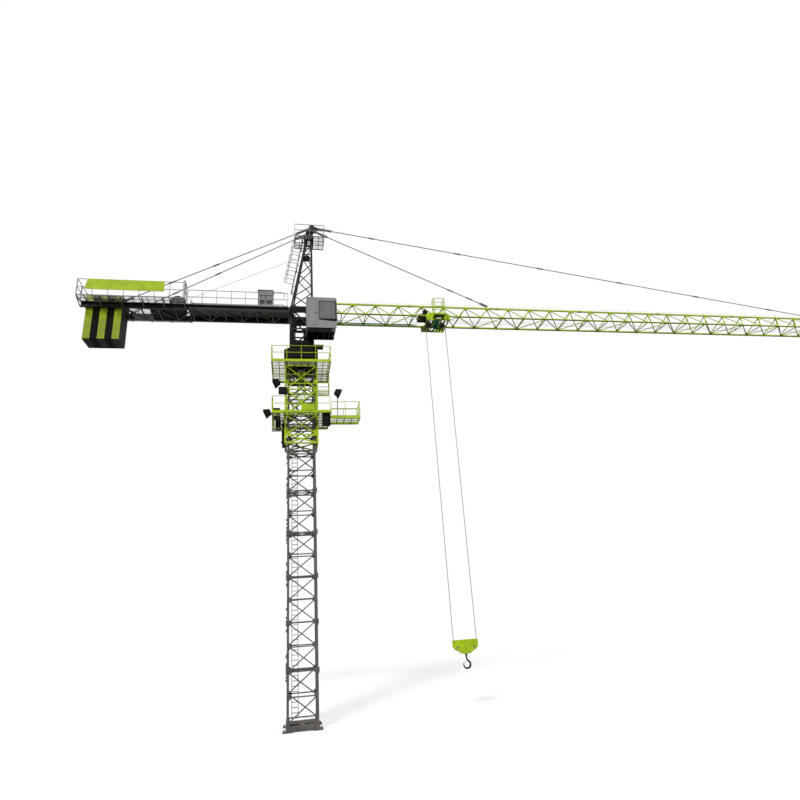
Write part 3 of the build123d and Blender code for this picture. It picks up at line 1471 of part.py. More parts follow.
lead = Vector(head_sheave_x - winch_top[0], 0, head_sheave_z - winch_top[2])
lead_angle = atan2(lead.Z, lead.X)
tangent = head_sheave_radius + rope_radius + rope_sheave_gap
over_head = (head_sheave_x - tangent * sin(lead_angle), rope_y, head_sheave_z + tangent * cos(lead_angle))
rope_run_z = bottom_chord_z - bottom_chord / 2 - 2 * rope_radius
finish(rope([(winch_top, over_head)]), "hoist_rope")

# Cab: hollow rounded body with window openings at the front and on both sides
cab_middle_y = (cab_inner_y + cab_outer_y) / 2
cab_width = cab_inner_y - cab_outer_y


def cab_outline(inset):
    """The cab's side view: a box with rounded corners and a nose that slopes back to the floor."""
    with BuildSketch(Plane.XZ) as outline:
        with BuildLine():
            Polyline(
                (cab_rear, cab_bottom),
                (cab_front - cab_nose, cab_bottom),
                (cab_front, cab_bottom + cab_nose_height),
                (cab_front, cab_top),
                (cab_rear, cab_top),
                close=True,
            )
        make_face()
        fillet(vertices(), cab_round)
        if inset:
            offset(amount=-inset, mode=Mode.REPLACE)
    return outline.sketch


with BuildPart() as cab_body:
    with BuildSketch(Plane.XZ.offset(-cab_inner_y)):
        add(cab_outline(0))
    extrude(amount=cab_width)
    with BuildSketch(Plane.XZ.offset(-cab_inner_y + cab_wall)):
        add(cab_outline(cab_wall))
    extrude(amount=cab_width - 2 * cab_wall, mode=Mode.SUBTRACT)
    with BuildSketch(Plane.XZ.offset(-cab_inner_y - cab_wall)):
        with Locations(((window_rear + cab_front) / 2 - cab_wall, (window_low + window_high) / 2)):
            RectangleRounded(cab_front - window_rear - 2 * cab_wall, window_high - window_low, window_round)
    extrude(amount=cab_width + 2 * cab_wall, mode=Mode.SUBTRACT)
    with BuildSketch(Plane.YZ.offset(cab_front - 2 * cab_wall)):
        with Locations((cab_middle_y, (window_low + window_high) / 2)):
            RectangleRounded(cab_width - 4 * cab_wall, window_high - window_low, window_round)
    extrude(amount=3 * cab_wall, mode=Mode.SUBTRACT)
finish(cab_body.part, "cab_body")

with BuildPart() as cab_glass:
    for face_y in (cab_outer_y, cab_inner_y - cab_wall):
        with BuildSketch(Plane.XZ.offset(-face_y - cab_wall / 2 - pane_thick / 2)):
            with Locations(((window_rear + cab_front) / 2 - cab_wall, (window_low + window_high) / 2)):
                RectangleRounded(cab_front - window_rear - 2 * cab_wall - 2 * pane_clearance,
                                 window_high - window_low - 2 * pane_clearance, window_round)
        extrude(amount=pane_thick)
    with BuildSketch(Plane.YZ.offset(cab_front - cab_wall / 2 - pane_thick / 2)):
        with Locations((cab_middle_y, (window_low + window_high) / 2)):
            RectangleRounded(cab_width - 4 * cab_wall - 2 * pane_clearance,
                             window_high - window_low - 2 * pane_clearance, window_round)
    extrude(amount=pane_thick)
finish(cab_glass.part, "cab_glass")

# Cab base: a ribbed frame under the cab, bolted to the slewing tower, and the landing below it
tower_face_y = -(tower_half_width + tower_leg / 2)
base_rear = cab_rear + cab_base_inset
base_front = cab_front - cab_nose - cab_base_inset
base_outer = cab_outer_y + cab_base_inset
base_length = base_front - base_rear
base_width = tower_face_y - base_outer
base_middle = ((base_rear + base_front) / 2, (tower_face_y + base_outer) / 2)
landing_x = tower_front_x + (tower_leg + tower_landing_length) / 2
with BuildPart() as cab_brackets:
    with BuildSketch(Plane.XY.offset(cab_bottom - cab_base_height)):
        with Locations(base_middle):
            Rectangle(base_length, base_width)
            Rectangle(base_length - 2 * cab_base_wall, base_width - 2 * cab_base_wall, mode=Mode.SUBTRACT)
            with GridLocations(base_length / (cab_rib_count + 1), 1, cab_rib_count, 1):
                Rectangle(cab_base_wall, base_width)
    extrude(amount=cab_base_height)
    with BuildSketch(Plane.XY.offset(tower_landing_z)):
        with Locations((landing_x, tower_face_y + tower_landing_width / 2)):
            Rectangle(tower_landing_length, tower_landing_width)
    extrude(amount=deck_thick)
finish(cab_brackets.part, "cab_brackets")

# Trolley: side plates joined by cross bars below the jib, and its wheels and sheaves
plate_inner = chord_half + bottom_chord / 2 + runway_width + side_plate_gap
plate_outer = plate_inner + side_plate_thick
wheel_z = runway_z + runway_thick / 2 + wheel_gap + wheel_radius
sheave_z = rope_run_z - rope_radius - rope_sheave_gap - sheave_radius
sheave_x = fall_spread / 2 - rope_radius - sheave_radius
with BuildPart() as trolley_frame:
    for side in (-1, 1):
        with BuildSketch(Plane.XZ.offset(-side * plate_inner)):
            with BuildLine():
                Polyline(
                    (trolley_x - side_plate_length / 2, trolley_low),
                    (trolley_x + side_plate_length / 2, trolley_low),
                    (trolley_x + side_plate_length / 2, wheel_z),
                    (trolley_x + wheel_base / 2, wheel_z + wheel_radius),
                    (trolley_x - wheel_base / 2, wheel_z + wheel_radius),
                    (trolley_x - side_plate_length / 2, wheel_z),
                    close=True,
                )
            make_face()
            with Locations((trolley_x, (trolley_low + wheel_z) / 2)):
                Rectangle(plate_window_length, plate_window_height, mode=Mode.SUBTRACT)
        extrude(amount=-side * side_plate_thick)
    with BuildSketch(Plane.XY.offset(trolley_low)):
        for bar_x in (-sheave_x, sheave_x):
            for bar_side in (-1, 1):
                with Locations((trolley_x + bar_x + bar_side * (sheave_radius + trolley_bar), 0)):
                    Rectangle(trolley_bar, 2 * plate_inner)
    extrude(amount=trolley_bar)
finish(trolley_frame.part, "trolley_frame")

with BuildPart() as trolley_wheels:
    for sheave_side in (-1, 1):
        with BuildSketch(Plane.XZ):
            with Locations((trolley_x + sheave_side * sheave_x, sheave_z)):
                Circle(sheave_radius)
        extrude(amount=sheave_width / 2, both=True)
        with BuildSketch(Plane.XZ):
            with Locations((trolley_x + sheave_side * sheave_x, sheave_z)):
                Circle(sheave_shaft_radius)
        extrude(amount=plate_inner, both=True)
    for side in (-1, 1):
        with BuildSketch(Plane.XZ.offset(-side * plate_inner)):
            with Locations((trolley_x - wheel_base / 2, wheel_z), (trolley_x + wheel_base / 2, wheel_z)):
                Circle(wheel_pin_radius)
        extrude(amount=side * side_plate_gap)
        with BuildSketch(Plane.XZ.offset(-side * (plate_inner - side_plate_gap / 2))):
            with Locations((trolley_x - wheel_base / 2, wheel_z), (trolley_x + wheel_base / 2, wheel_z)):
                Circle(wheel_radius)
        extrude(amount=side * wheel_width)
finish(trolley_wheels.part, "trolley_wheels")

# Service basket on the near side of the trolley
basket_y = -(plate_outer + basket_width / 2)
with BuildPart() as basket_floor:
    with BuildSketch(Plane.XY.offset(basket_floor_z)):
        with Locations((trolley_x, basket_y)):
            Rectangle(basket_length, basket_width)
    extrude(amount=deck_thick)
finish(basket_floor.part, "basket_floor")
with BuildPart() as basket_rails:
    for panel in rail_ring(
        trolley_x - basket_length / 2, trolley_x + basket_length / 2,
        basket_y - basket_width / 2, basket_y + basket_width / 2,
        basket_floor_z + deck_thick, basket_height,
    ):
        add(panel)
finish(basket_rails.part, "basket_rails")

# Hook block: two cheeks around two sheaves, and a hook that hangs under the middle
with BuildPart() as hook_block:
    for side in (-1, 1):
        with BuildSketch(Plane.XZ.offset(-side * (sheave_width / 2 + block_cheek_gap))):
            with BuildLine():
                Polyline(
                    (trolley_x - block_half_length, block_high),
                    (trolley_x - block_half_length, block_axle_z),
                    (trolley_x - block_foot_half, block_low),
                    (trolley_x + block_foot_half, block_low),
                    (trolley_x + block_half_length, block_axle_z),
                    (trolley_x + block_half_length, block_high),
                    close=True,
                )
            make_face()
        extrude(amount=-side * block_cheek)
    with BuildSketch(Plane.XZ):
        for axle_side in (-1, 1):
            with Locations((trolley_x + axle_side * sheave_x, block_axle_z)):
                Circle(sheave_shaft_radius)
    extrude(amount=sheave_width / 2 + block_cheek_gap + block_cheek, both=True)
    with BuildSketch(Plane.XZ):
        for axle_side in (-1, 1):
            with Locations((trolley_x + axle_side * sheave_x, block_axle_z)):
                Circle(sheave_radius)
    extrude(amount=sheave_width / 2, both=True)
    with BuildSketch(Plane.XY.offset(block_low)):
        with Locations((trolley_x, 0)):
            Rectangle(2 * block_foot_half, sheave_width + 2 * block_cheek_gap)
    extrude(amount=block_foot_height)
finish(hook_block.part, "hook_block")

hook_z = block_low - hook_drop
with BuildPart() as hook:
    with BuildSketch(Plane.XZ):
        with Locations((trolley_x, hook_z)):
            Circle(hook_bore_radius + hook_wall)
            Circle(hook_bore_radius, mode=Mode.SUBTRACT)
            with Locations((-hook_bore_radius, hook_bore_radius)):
                Rectangle(2 * hook_bore_radius, 2 * hook_bore_radius, mode=Mode.SUBTRACT)
        with Locations((trolley_x, hook_z + hook_bore_radius + hook_wall / 2)):
            Rectangle(2 * hook_shank_radius, hook_wall)
    extrude(amount=hook_thick / 2, both=True)
    with BuildSketch(Plane.XY.offset(hook_z + hook_bore_radius + hook_wall / 2)):
        with Locations((trolley_x, 0)):
            Circle(hook_shank_radius)
    extrude(amount=block_low - hook_z - hook_bore_radius - hook_wall / 2)
finish(hook.part, "hook")

# Falls of the hoist rope between the trolley's sheaves and the hook block's sheaves
falls = []
for fall_x in (trolley_x - fall_spread / 2, trolley_x + fall_spread / 2):
    for fall_y in (-fall_pair / 2, fall_pair / 2):
        falls.append(((fall_x, fall_y, block_axle_z), (fall_x, fall_y, sheave_z)))
finish(rope(falls), "rope_falls")
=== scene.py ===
# %% [markdown]
# # A hammerhead tower crane, dressed on its measured frame
# The real crane is welded from square tubes and held together by bolts, pins and ropes. Its big shapes
# come with the frame, already to size. What is added here gives them scale: open grating, bolts, gear,
# grooved sheaves, wound rope, seals and weathered paint. All lengths are metres of a 1:2 model, +X runs
# out along the jib, +Z is up and the cab is on the -Y side.

# %% Load the frame
import json
from math import cos, radians, sin

import bpy
import numpy as np
from mathutils import Matrix, Vector


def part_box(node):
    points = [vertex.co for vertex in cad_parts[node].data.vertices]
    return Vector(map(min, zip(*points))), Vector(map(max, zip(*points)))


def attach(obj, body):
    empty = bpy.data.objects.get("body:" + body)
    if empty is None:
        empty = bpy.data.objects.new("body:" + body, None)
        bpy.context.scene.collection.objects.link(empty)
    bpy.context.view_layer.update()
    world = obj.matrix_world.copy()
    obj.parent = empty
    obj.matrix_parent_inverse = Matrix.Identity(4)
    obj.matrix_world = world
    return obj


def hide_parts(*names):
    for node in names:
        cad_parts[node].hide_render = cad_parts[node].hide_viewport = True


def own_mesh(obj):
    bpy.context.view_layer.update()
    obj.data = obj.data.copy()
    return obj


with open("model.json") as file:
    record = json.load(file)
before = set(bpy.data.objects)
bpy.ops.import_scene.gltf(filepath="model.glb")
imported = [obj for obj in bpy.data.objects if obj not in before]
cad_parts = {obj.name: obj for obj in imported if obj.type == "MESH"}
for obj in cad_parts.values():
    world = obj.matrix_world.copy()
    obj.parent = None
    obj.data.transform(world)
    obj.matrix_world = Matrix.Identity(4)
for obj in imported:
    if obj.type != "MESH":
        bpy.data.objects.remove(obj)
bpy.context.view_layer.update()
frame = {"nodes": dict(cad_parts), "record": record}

# %% [markdown]
# ## Camera
# The picture was taken from far off and low down, so the lower mast is seen level and the decks from
# below. The line of sight is given by three turns: to the right of +Y, up from level, and about itself.
# Writing the camera's axes as columns of a matrix avoids guessing at the order of Euler turns.

# %% Camera
camera_place = Vector((-0.335, -19.98, 3.37))
camera_turn = radians(11.45)
camera_tilt = radians(19.71)
camera_roll = radians(-3.86)
lens_share = 568.64 / 800.0

camera_data = bpy.data.cameras.new("camera")
camera_data.sensor_width = 36.0
camera_data.lens = camera_data.sensor_width * lens_share
camera_data.clip_end = 500.0
camera = bpy.data.objects.new("camera", camera_data)
bpy.context.scene.collection.objects.link(camera)

sight = Vector((sin(camera_turn) * cos(camera_tilt), cos(camera_turn) * cos(camera_tilt), sin(camera_tilt)))
level_right = Vector((cos(camera_turn), -sin(camera_turn), 0.0))
right = level_right * cos(camera_roll) + level_right.cross(sight) * sin(camera_roll)
up = right.cross(sight)
columns = Matrix((right, up, -sight)).transposed()
camera.matrix_world = Matrix.Translation(camera_place) @ columns.to_4x4()
bpy.context.scene.camera = camera
print("camera looks along", [round(value, 3) for value in sight])

# %% [markdown]
# ## Surfaces as arrays
# A surface here is a pair: an array of points, and a list of face arrays that number those points. A
# shape is computed for all its points at once. One check serves every closed shape: the sum of
# corner 0 . (corner 1 x corner 2) over its triangles is six times its volume, so where that comes out
# negative the faces are inside out and are read backwards.

# %% Points, faces and which way they look
def outward(points, blocks):
    """Turns the faces round if the enclosed volume, a sixth of the sum of a . (b x c), is negative."""
    points = np.asarray(points, float)
    volume = 0.0
    for block in blocks:
        corners = points[block]
        for step in range(1, block.shape[1] - 1):
            crossed = np.cross(corners[:, step], corners[:, step + 1])
            volume += np.einsum("ij,ij->", corners[:, 0], crossed)
    return points, [block[:, ::-1] if volume < 0 else block for block in blocks]


def grid(rows, columns, wrap_rows=False, wrap_columns=True):
    """Faces over points numbered row by row: (i, j), (i, j + 1), (i + 1, j + 1), (i + 1, j)."""
    i, j = np.meshgrid(np.arange(rows if wrap_rows else rows - 1),
                       np.arange(columns if wrap_columns else columns - 1), indexing="ij")
    i, j = i.ravel(), j.ravel()
    next_i, next_j = (i + 1) % rows, (j + 1) % columns
    corners = [i * columns + j, i * columns + next_j, next_i * columns + next_j, next_i * columns + j]
    return np.stack(corners, 1)


def at(x, y, z):
    """Places from numbers and rows of numbers: a single number is repeated to go with the rows."""
    return np.stack(np.broadcast_arrays(x, y, z), -1).astype(float).reshape(-1, 3)


def join(*shapes):
    """One surface out of several: points are stacked, and face numbers rise by the points before them."""
    blocks, start = [], 0
    for points, faces in shapes:
        blocks += [block + start for block in faces]
        start += len(points)
    return np.vstack([points for points, _ in shapes]), blocks


def copies(shape, places, turn=np.eye(3)):
    """The shape again at every place: place + turn . point, worked out for all copies together."""
    points, blocks = shape
    places = np.asarray(places, float).reshape(-1, 3)
    moved = places[:, None] + points @ turn.T
    steps = np.arange(len(places))[:, None, None] * len(points)
    return moved.reshape(-1, 3), [(block[None] + steps).reshape(-1, block.shape[1]) for block in blocks]


def both_sides(shape, places):
    """The shape at every place, and half turned about X at the same places beyond the middle, at -y."""
    places = np.asarray(places, float).reshape(-1, 3)
    return join(copies(shape, places), copies(shape, places * (1, -1, 1), np.diag([1.0, -1.0, -1.0])))


def four_corners(x, y, *levels):
    """Places at both signs of x and of y, on every level."""
    return np.array([(sx * x, sy * y, level) for sx in (-1, 1) for sy in (-1, 1) for level in levels])


def full_turn(count):
    """So many angles spread evenly round a full turn."""
    return 2 * np.pi * np.arange(count) / count


def circle(centre, radius, angle, across=(1, 0, 0), rise=(0, 0, 1)):
    """Places on a circle: centre + r (cos a . across + sin a . rise)."""
    return centre + radius * (np.outer(np.cos(angle), across) + np.outer(np.sin(angle), rise))


def triangles(blocks):
    """How many triangles the face arrays make: corners less two, for each face."""
    return sum(len(block) * (block.shape[1] - 2) for block in blocks)


total_triangles = 0


def add_piece(name, finish, body, *shapes, instead_of=()):
    """Puts shapes into one mesh at the origin, gives it a finish and lets it ride on a body."""
    global total_triangles
    points, blocks = join(*shapes)
    assert np.isfinite(points).all(), f"{name} has a point without a place"
    mesh = bpy.data.meshes.new(name)
    mesh.from_pydata(points.tolist(), [], [face for block in blocks for face in block.tolist()])
    mesh.update()
    mesh.materials.append(finishes[finish])
    piece = bpy.data.objects.new(name, mesh)
    bpy.context.scene.collection.objects.link(piece)
    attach(piece, body)
    if instead_of:
        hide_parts(*instead_of)
    total_triangles += triangles(blocks)
    print(f"{name}: {len(points)} points, {triangles(blocks)} triangles, on {body}")
    return piece


# %% [markdown]
# ## Four makers of shapes
# Nearly everything on a crane is a straight bar, a plate cut to an outline, a turned part or a bent
# round bar. Each gets one function of its own, and all of them close their ends.

# %% Bars, plates, turned parts and bent tubes
AXES = {
    "x": np.array([[0, 0, 1], [1, 0, 0], [0, 1, 0]], float),
    "y": np.array([[1, 0, 0], [0, 0, 1], [0, -1, 0]], float),
    "z": np.eye(3),
}
X, Y, Z = (1, 0, 0), (0, 1, 0), (0, 0, 1)
XY, XZ, YZ = (X, Y), (X, Z), (Y, Z)


def unit(vectors):
    """Each vector divided by its own length."""
    vectors = np.asarray(vectors, float)
    return vectors / np.linalg.norm(vectors, axis=-1, keepdims=True)


def bars(starts, ends, width, depth, over=Z):
    """Square bars: corner = end point +- width/2 . side +- depth/2 . top, where side = along x over."""
    starts, ends = np.asarray(starts, float).reshape(-1, 3), np.asarray(ends, float).reshape(-1, 3)
    along = unit(ends - starts)
    side = unit(np.cross(along, over))
    top = np.cross(side, along)
    signs = np.array([(-1, -1), (1, -1), (1, 1), (-1, 1)], float)
    ring = signs[:, 0, None] * side[:, None] * width / 2 + signs[:, 1, None] * top[:, None] * depth / 2
    points = np.concatenate([starts[:, None] + ring, ends[:, None] + ring], 1).reshape(-1, 3)
    block = np.array([(3, 2, 1, 0), (4, 5, 6, 7), (0, 1, 5, 4), (1, 2, 6, 5), (2, 3, 7, 6), (3, 0, 4, 7)])
    faces = (block[None] + 8 * np.arange(len(starts))[:, None, None]).reshape(-1, 4)
    return outward(points, [faces])


def centred_bars(middles, half, width, depth, over=Z):
    """Bars that reach as far to both sides of their middle points: middle - half to middle + half."""
    return bars(middles - np.array(half), middles + np.array(half), width, depth, over)


def uprights(feet, height, width, depth):
    """Posts that stand on their feet, with their depth along Y."""
    return bars(feet, np.array(feet) + (0, 0, height), width, depth, Y)


def plate(outline, thick, origin, across, rise):
    """An outline (u, v) made solid: origin + u . across + v . rise +- thick/2 . (across x rise)."""
    across, rise = unit(across), unit(rise)
    flat = origin + np.array(outline) @ np.array([across, rise])
    normal = np.cross(across, rise) * thick / 2
    count = len(outline)
    caps = np.array([np.arange(count)[::-1], np.arange(count) + count])
    return outward(np.vstack([flat - normal, flat + normal]), [grid(2, count), caps])


def rounded(width, height, corner, steps=5):
    """A rectangle with round corners: quarter circles of that radius about the four inner corners."""
    angle = np.linspace(0, np.pi / 2, steps)
    quarters = []
    for turn, (u, v) in enumerate(((1, 1), (-1, 1), (-1, -1), (1, -1))):
        centre = np.array([u * (width / 2 - corner), v * (height / 2 - corner)])
        spin = angle + turn * np.pi / 2
        quarters.append(centre + corner * np.stack([np.cos(spin), np.sin(spin)], 1))
    return np.vstack(quarters)


def slab(width, height, corner, thick, origin, across, rise):
    """A plate with round corners."""
    return plate(rounded(width, height, corner), thick, origin, across, rise)


def wall(loops):
    """Four loops (outline, place, across, rise), joined round the section of a frame or a funnel."""
    points = [place + outline @ np.array([across, rise]) for outline, place, across, rise in loops]
    return outward(np.vstack(points), [grid(4, len(points[0]), wrap_rows=True)])


def rim(outer, inner, thick, origin, across, rise, steps=5):
    """A flat frame between two rectangles (width, height, corner) with round corners."""
    half = np.cross(across, rise) * thick / 2
    sizes = (outer, -1), (outer, 1), (inner, 1), (inner, -1)
    return wall([(rounded(*size, steps), origin + side * half, across, rise) for size, side in sizes])


def stepped(low, *steps):
    """Profile of a stack of cylinders, each given by its radius and the height it reaches."""
    profile = []
    for radius, high in steps:
        profile += [(radius, low), (radius, high)]
        low = high
    return profile


def both_ends(*side, middle=()):
    """Profile that is the same towards both ends: one end's points, their mirror, and any between."""
    return [(r, -h) for r, h in side] + list(middle) + [(r, h) for r, h in reversed(side)]


def turned(profile, sides, axis="z", tip=None):
    """(radius, height) pairs spun round an axis: (r cos a, r sin a, h). Ends are flat or rise to a tip."""
    radius, height = np.array(profile, float).T[:, :, None]
    angle, ring = full_turn(sides), np.arange(sides)
    rings = at(radius * np.cos(angle), radius * np.sin(angle), height)
    ends = [(0, 0, height[0, 0]), (0, 0, height[-1, 0] if tip is None else tip)]
    after, low, last = (ring + 1) % sides, len(rings), len(rings) - sides
    fans = np.vstack([np.stack([np.full(sides, low), after, ring], 1),
                      np.stack([np.full(sides, low + 1), last + ring, last + after], 1)])
    return outward(np.vstack([rings, ends]) @ AXES[axis].T, [grid(len(radius), sides), fans])


def shaft(radius, half, sides):
    """A plain round bar along Y, as long to both sides of its middle."""
    return turned(stepped(-half, (radius, half)), sides, "y")


def tube(path, radius, sides=8, over=Z):
    """A circle carried along a path: path + r (cos a . side + sin a . lift), where side = along x over."""
    path = np.asarray(path, float)
    along = unit(np.gradient(path, axis=0))
    side = unit(np.cross(along, over))
    lift = np.cross(side, along)
    angle = full_turn(sides)[:, None]
    radius = (radius * np.ones(len(path)))[:, None, None]
    rings = path[:, None] + radius * (np.cos(angle) * side[:, None] + np.sin(angle) * lift[:, None])
    last = (len(path) - 1) * sides
    caps = np.array([np.arange(sides)[::-1], np.arange(sides) + last])
    return outward(rings.reshape(-1, 3), [grid(len(path), sides), caps])


def bend(points, radius, steps=5):
    """A path of straight runs with rounded corners: (1 - t)^2 a + 2 t (1 - t) b + t^2 c."""
    points = np.asarray(points, float)
    t = np.linspace(0, 1, steps)[:, None]
    pieces = [points[:1]]
    for before, corner, after in zip(points, points[1:], points[2:]):
        a = corner + unit(before - corner) * radius
        c = corner + unit(after - corner) * radius
        pieces.append((1 - t) ** 2 * a + 2 * t * (1 - t) * corner + t ** 2 * c)
    pieces.append(points[-1:])
    return np.vstack(pieces)


print("a square bar has", triangles(bars((0, 0, 0), X, 1, 1)[1]), "triangles")

# %% [markdown]
# ## Weathered paint
# A crane stands outdoors for years. Its paint fades in broad patches, rain draws streaks down it and rust
# blooms in spots. The faces that look down are darkened with painted shade, the shade they are in outdoors.
# All of this reads the object's own coordinates, so it turns with the crane.

# %% Small node helpers
# The second colour on the next line is the near black of the painted shade on faces that look down.
RUST_BROWN, UNDERSIDE_SHADE = (0.1, 0.042, 0.018, 1.0), (0.02, 0.017, 0.014, 1.0)
# The first colour on the next line is the duller olive that the weights' sides turn to towards the bottom.
WEIGHT_LOW_TONE, WEIGHT_CHIP = (0.13, 0.15, 0.05, 1.0), (0.045, 0.04, 0.034, 1.0)
bump_depth = 0.003


def start_finish(name):
    """A material with an empty node tree, ready for nodes."""
    material = bpy.data.materials.new(name)
    material.use_nodes = True
    material.node_tree.nodes.clear()
    return material, material.node_tree


def put(tree, kind, settings=None, **links):
    """Adds a node. A link value is either a plain value for that input or another node's output."""
    node = tree.nodes.new(kind)
    for key, value in (settings or {}).items():
        setattr(node, key, value)
    for key, value in links.items():
        by_number = key[0] == "n" and key[1:].isdigit()
        socket = node.inputs[int(key[1:]) if by_number else key.replace("_", " ")]
        if isinstance(value, bpy.types.NodeSocket):
            tree.links.new(value, socket)
        else:
            socket.default_value = value
    return node


def noise(tree, place, scale, detail=3.0, rough=0.6):
    """Cloudy noise over a place, with so many clouds a metre."""
    node = put(tree, "ShaderNodeTexNoise", Vector=place, Scale=scale, Detail=detail, Roughness=rough)
    return node.outputs["Fac"]


def span(tree, value, low, high, to_low=0.0, to_high=1.0):
    """A value carried from one range to another and held at its ends."""
    ends = {"From_Min": low, "From_Max": high, "To_Min": to_low, "To_Max": to_high}
    return put(tree, "ShaderNodeMapRange", Value=value, **ends).outputs["Result"]


def part(tree, vector, axis):
    """The X, Y or Z part of a vector."""
    return put(tree, "ShaderNodeSeparateXYZ", Vector=vector).outputs[axis]


def blend_colour(tree, share, first, second, kind="MIX"):
    """First colour towards second by a share, or multiplied by it."""
    settings = {"data_type": "RGBA", "blend_type": kind}
    return put(tree, "ShaderNodeMix", settings, n0=share, n6=first, n7=second).outputs[2]


def shade_surface(tree, colour, rough, bump_from, bump=0.12, specular=0.35, metal=0.0):
    """Ends a tree in one surface shader, with its constants on its own sockets."""
    bumped = put(tree, "ShaderNodeBump", Strength=bump, Distance=bump_depth, Height=bump_from)
    surface = put(tree, "ShaderNodeBsdfPrincipled", Base_Color=colour, Roughness=rough,
                  Normal=bumped.outputs["Normal"], Metallic=metal, Specular_IOR_Level=specular)
    put(tree, "ShaderNodeOutputMaterial", Surface=surface.outputs["BSDF"])


# %% Paint
def paint(tree, own, colour, shade, rust=0.3, rough=0.5, under=0.55, specular=0.3, patch=2.4):
    """Colour fades to shade in patches, then streaks, painted shade on downward faces, and rust spots."""
    place, normal = own["Object"], own["Normal"]
    tall = put(tree, "ShaderNodeMapping", Vector=place, Scale=(11.0, 11.0, 0.9)).outputs["Vector"]
    patches = span(tree, noise(tree, place, patch, 4.0), 0.36, 0.66)
    fine = noise(tree, place, 46.0, 3.0, 0.7)
    streaks = span(tree, noise(tree, tall, 2.0, 4.0), 0.4, 0.72, 1.0, 0.88)
    spots = span(tree, noise(tree, place, 13.0, 6.0, 0.78), 0.63, 0.7, 0.0, rust)
    base = blend_colour(tree, patches, shade, colour)
    streaked = blend_colour(tree, 1.0, base, streaks, "MULTIPLY")
    # Painted shade: the more a face looks down, the darker it is painted, up to each paint's setting for it.
    down = span(tree, part(tree, normal, "Z"), -0.3, -0.95, 0.0, under)
    under_shaded = blend_colour(tree, down, streaked, UNDERSIDE_SHADE)
    worn = blend_colour(tree, spots, under_shaded, RUST_BROWN)
    shade_surface(tree, worn, span(tree, fine, 0.25, 0.75, rough - 0.1, rough + 0.2), fine, specular=specular)


# %% [markdown]
# ## Bare metal, rope, glass and cast weights
# Galvanised steel is paler and a little metallic. A wire rope shows its lay as fine slanting bands, which
# are plenty at this thickness. The cab's panes are tinted, so they read as a dark sheen, and dust gathers
# in a thin film on them. The weights are lime on their sides only; their other faces get a near black
# painted shade, and their sides turn darker towards the bottom.

# %% Metal, rope, pane and weights
def steel(tree, own, colour, shade, metal=0.5, rough=0.45, rust=0.2):
    """Galvanised or machined steel: spangled colour with a trace of rust."""
    place = own["Object"]
    spangle = noise(tree, place, 60.0, 2.0)
    patches = span(tree, noise(tree, place, 5.0, 4.0), 0.35, 0.7)
    spots = span(tree, noise(tree, place, 17.0, 5.0, 0.75), 0.63, 0.71, 0.0, rust)
    worn = blend_colour(tree, spots, blend_colour(tree, patches, shade, colour), RUST_BROWN)
    sheen = span(tree, spangle, 0.3, 0.7, rough - 0.1, rough + 0.15)
    shade_surface(tree, worn, sheen, spangle, 0.08, 0.4, metal)


def lay(tree, own, colour, shade):
    """Wire rope: slanting bands from a wave along the diagonal, dark between the strands."""
    place = own["Object"]
    slanting = {"bands_direction": "DIAGONAL"}
    wave = put(tree, "ShaderNodeTexWave", slanting, Vector=place, Scale=42.0, Distortion=0.4)
    strands = wave.outputs["Fac"]
    greased = span(tree, noise(tree, place, 1.3, 3.0), 0.4, 0.7, 0.0, 0.5)
    banded = blend_colour(tree, strands, shade, colour)
    worn = blend_colour(tree, greased, banded, shade)
    shade_surface(tree, worn, span(tree, strands, 0.0, 1.0, 0.6, 0.4), strands, 0.3, 0.4, 0.3)


def pane(tree, own, colour, shade, rough=0.16, specular=0.5):
    """Tinted glass or a lens: an even dark tint, clouded by a film of dust that also dulls the sheen."""
    place = own["Object"]
    film = span(tree, noise(tree, place, 3.4, 5.0), 0.35, 0.75)
    tint = blend_colour(tree, film, shade, colour)
    shade_surface(tree, tint, span(tree, film, 0.0, 1.0, rough, rough + 0.16), film, 0.02, specular)


def weight_coat(tree, own, colour, shade, painted_shade_colour):
    """Cast blocks lime on the faces that show to the side; ends, top and underside get a painted shade."""
    place, normal = own["Object"], own["Normal"]
    clouds = span(tree, noise(tree, place, 3.1, 4.0), 0.38, 0.66)
    coat = blend_colour(tree, clouds, shade, colour)
    # The sides turn darker and duller towards the bottom of the weights.
    dust = span(tree, part(tree, place, "Z"), 13.75, 13.55, 0.0, 0.42)
    low_toned = blend_colour(tree, dust, coat, WEIGHT_LOW_TONE)
    sideways = put(tree, "ShaderNodeMath", {"operation": "ABSOLUTE"}, n0=part(tree, normal, "Y"))
    # Painted shade: faces that do not look along Y get the near black shade colour; only the sides are lime.
    painted = blend_colour(tree, span(tree, sideways.outputs[0], 0.8, 0.92), (*painted_shade_colour, 1.0), low_toned)
    grain = noise(tree, place, 70.0, 4.0, 0.7)
    chips = span(tree, noise(tree, place, 9.0, 6.0, 0.75), 0.62, 0.67, 0.0, 0.7)
    worn = blend_colour(tree, chips, painted, WEIGHT_CHIP)
    shade_surface(tree, worn, span(tree, grain, 0.3, 0.7, 0.55, 0.85), grain, 0.35, 0.12)
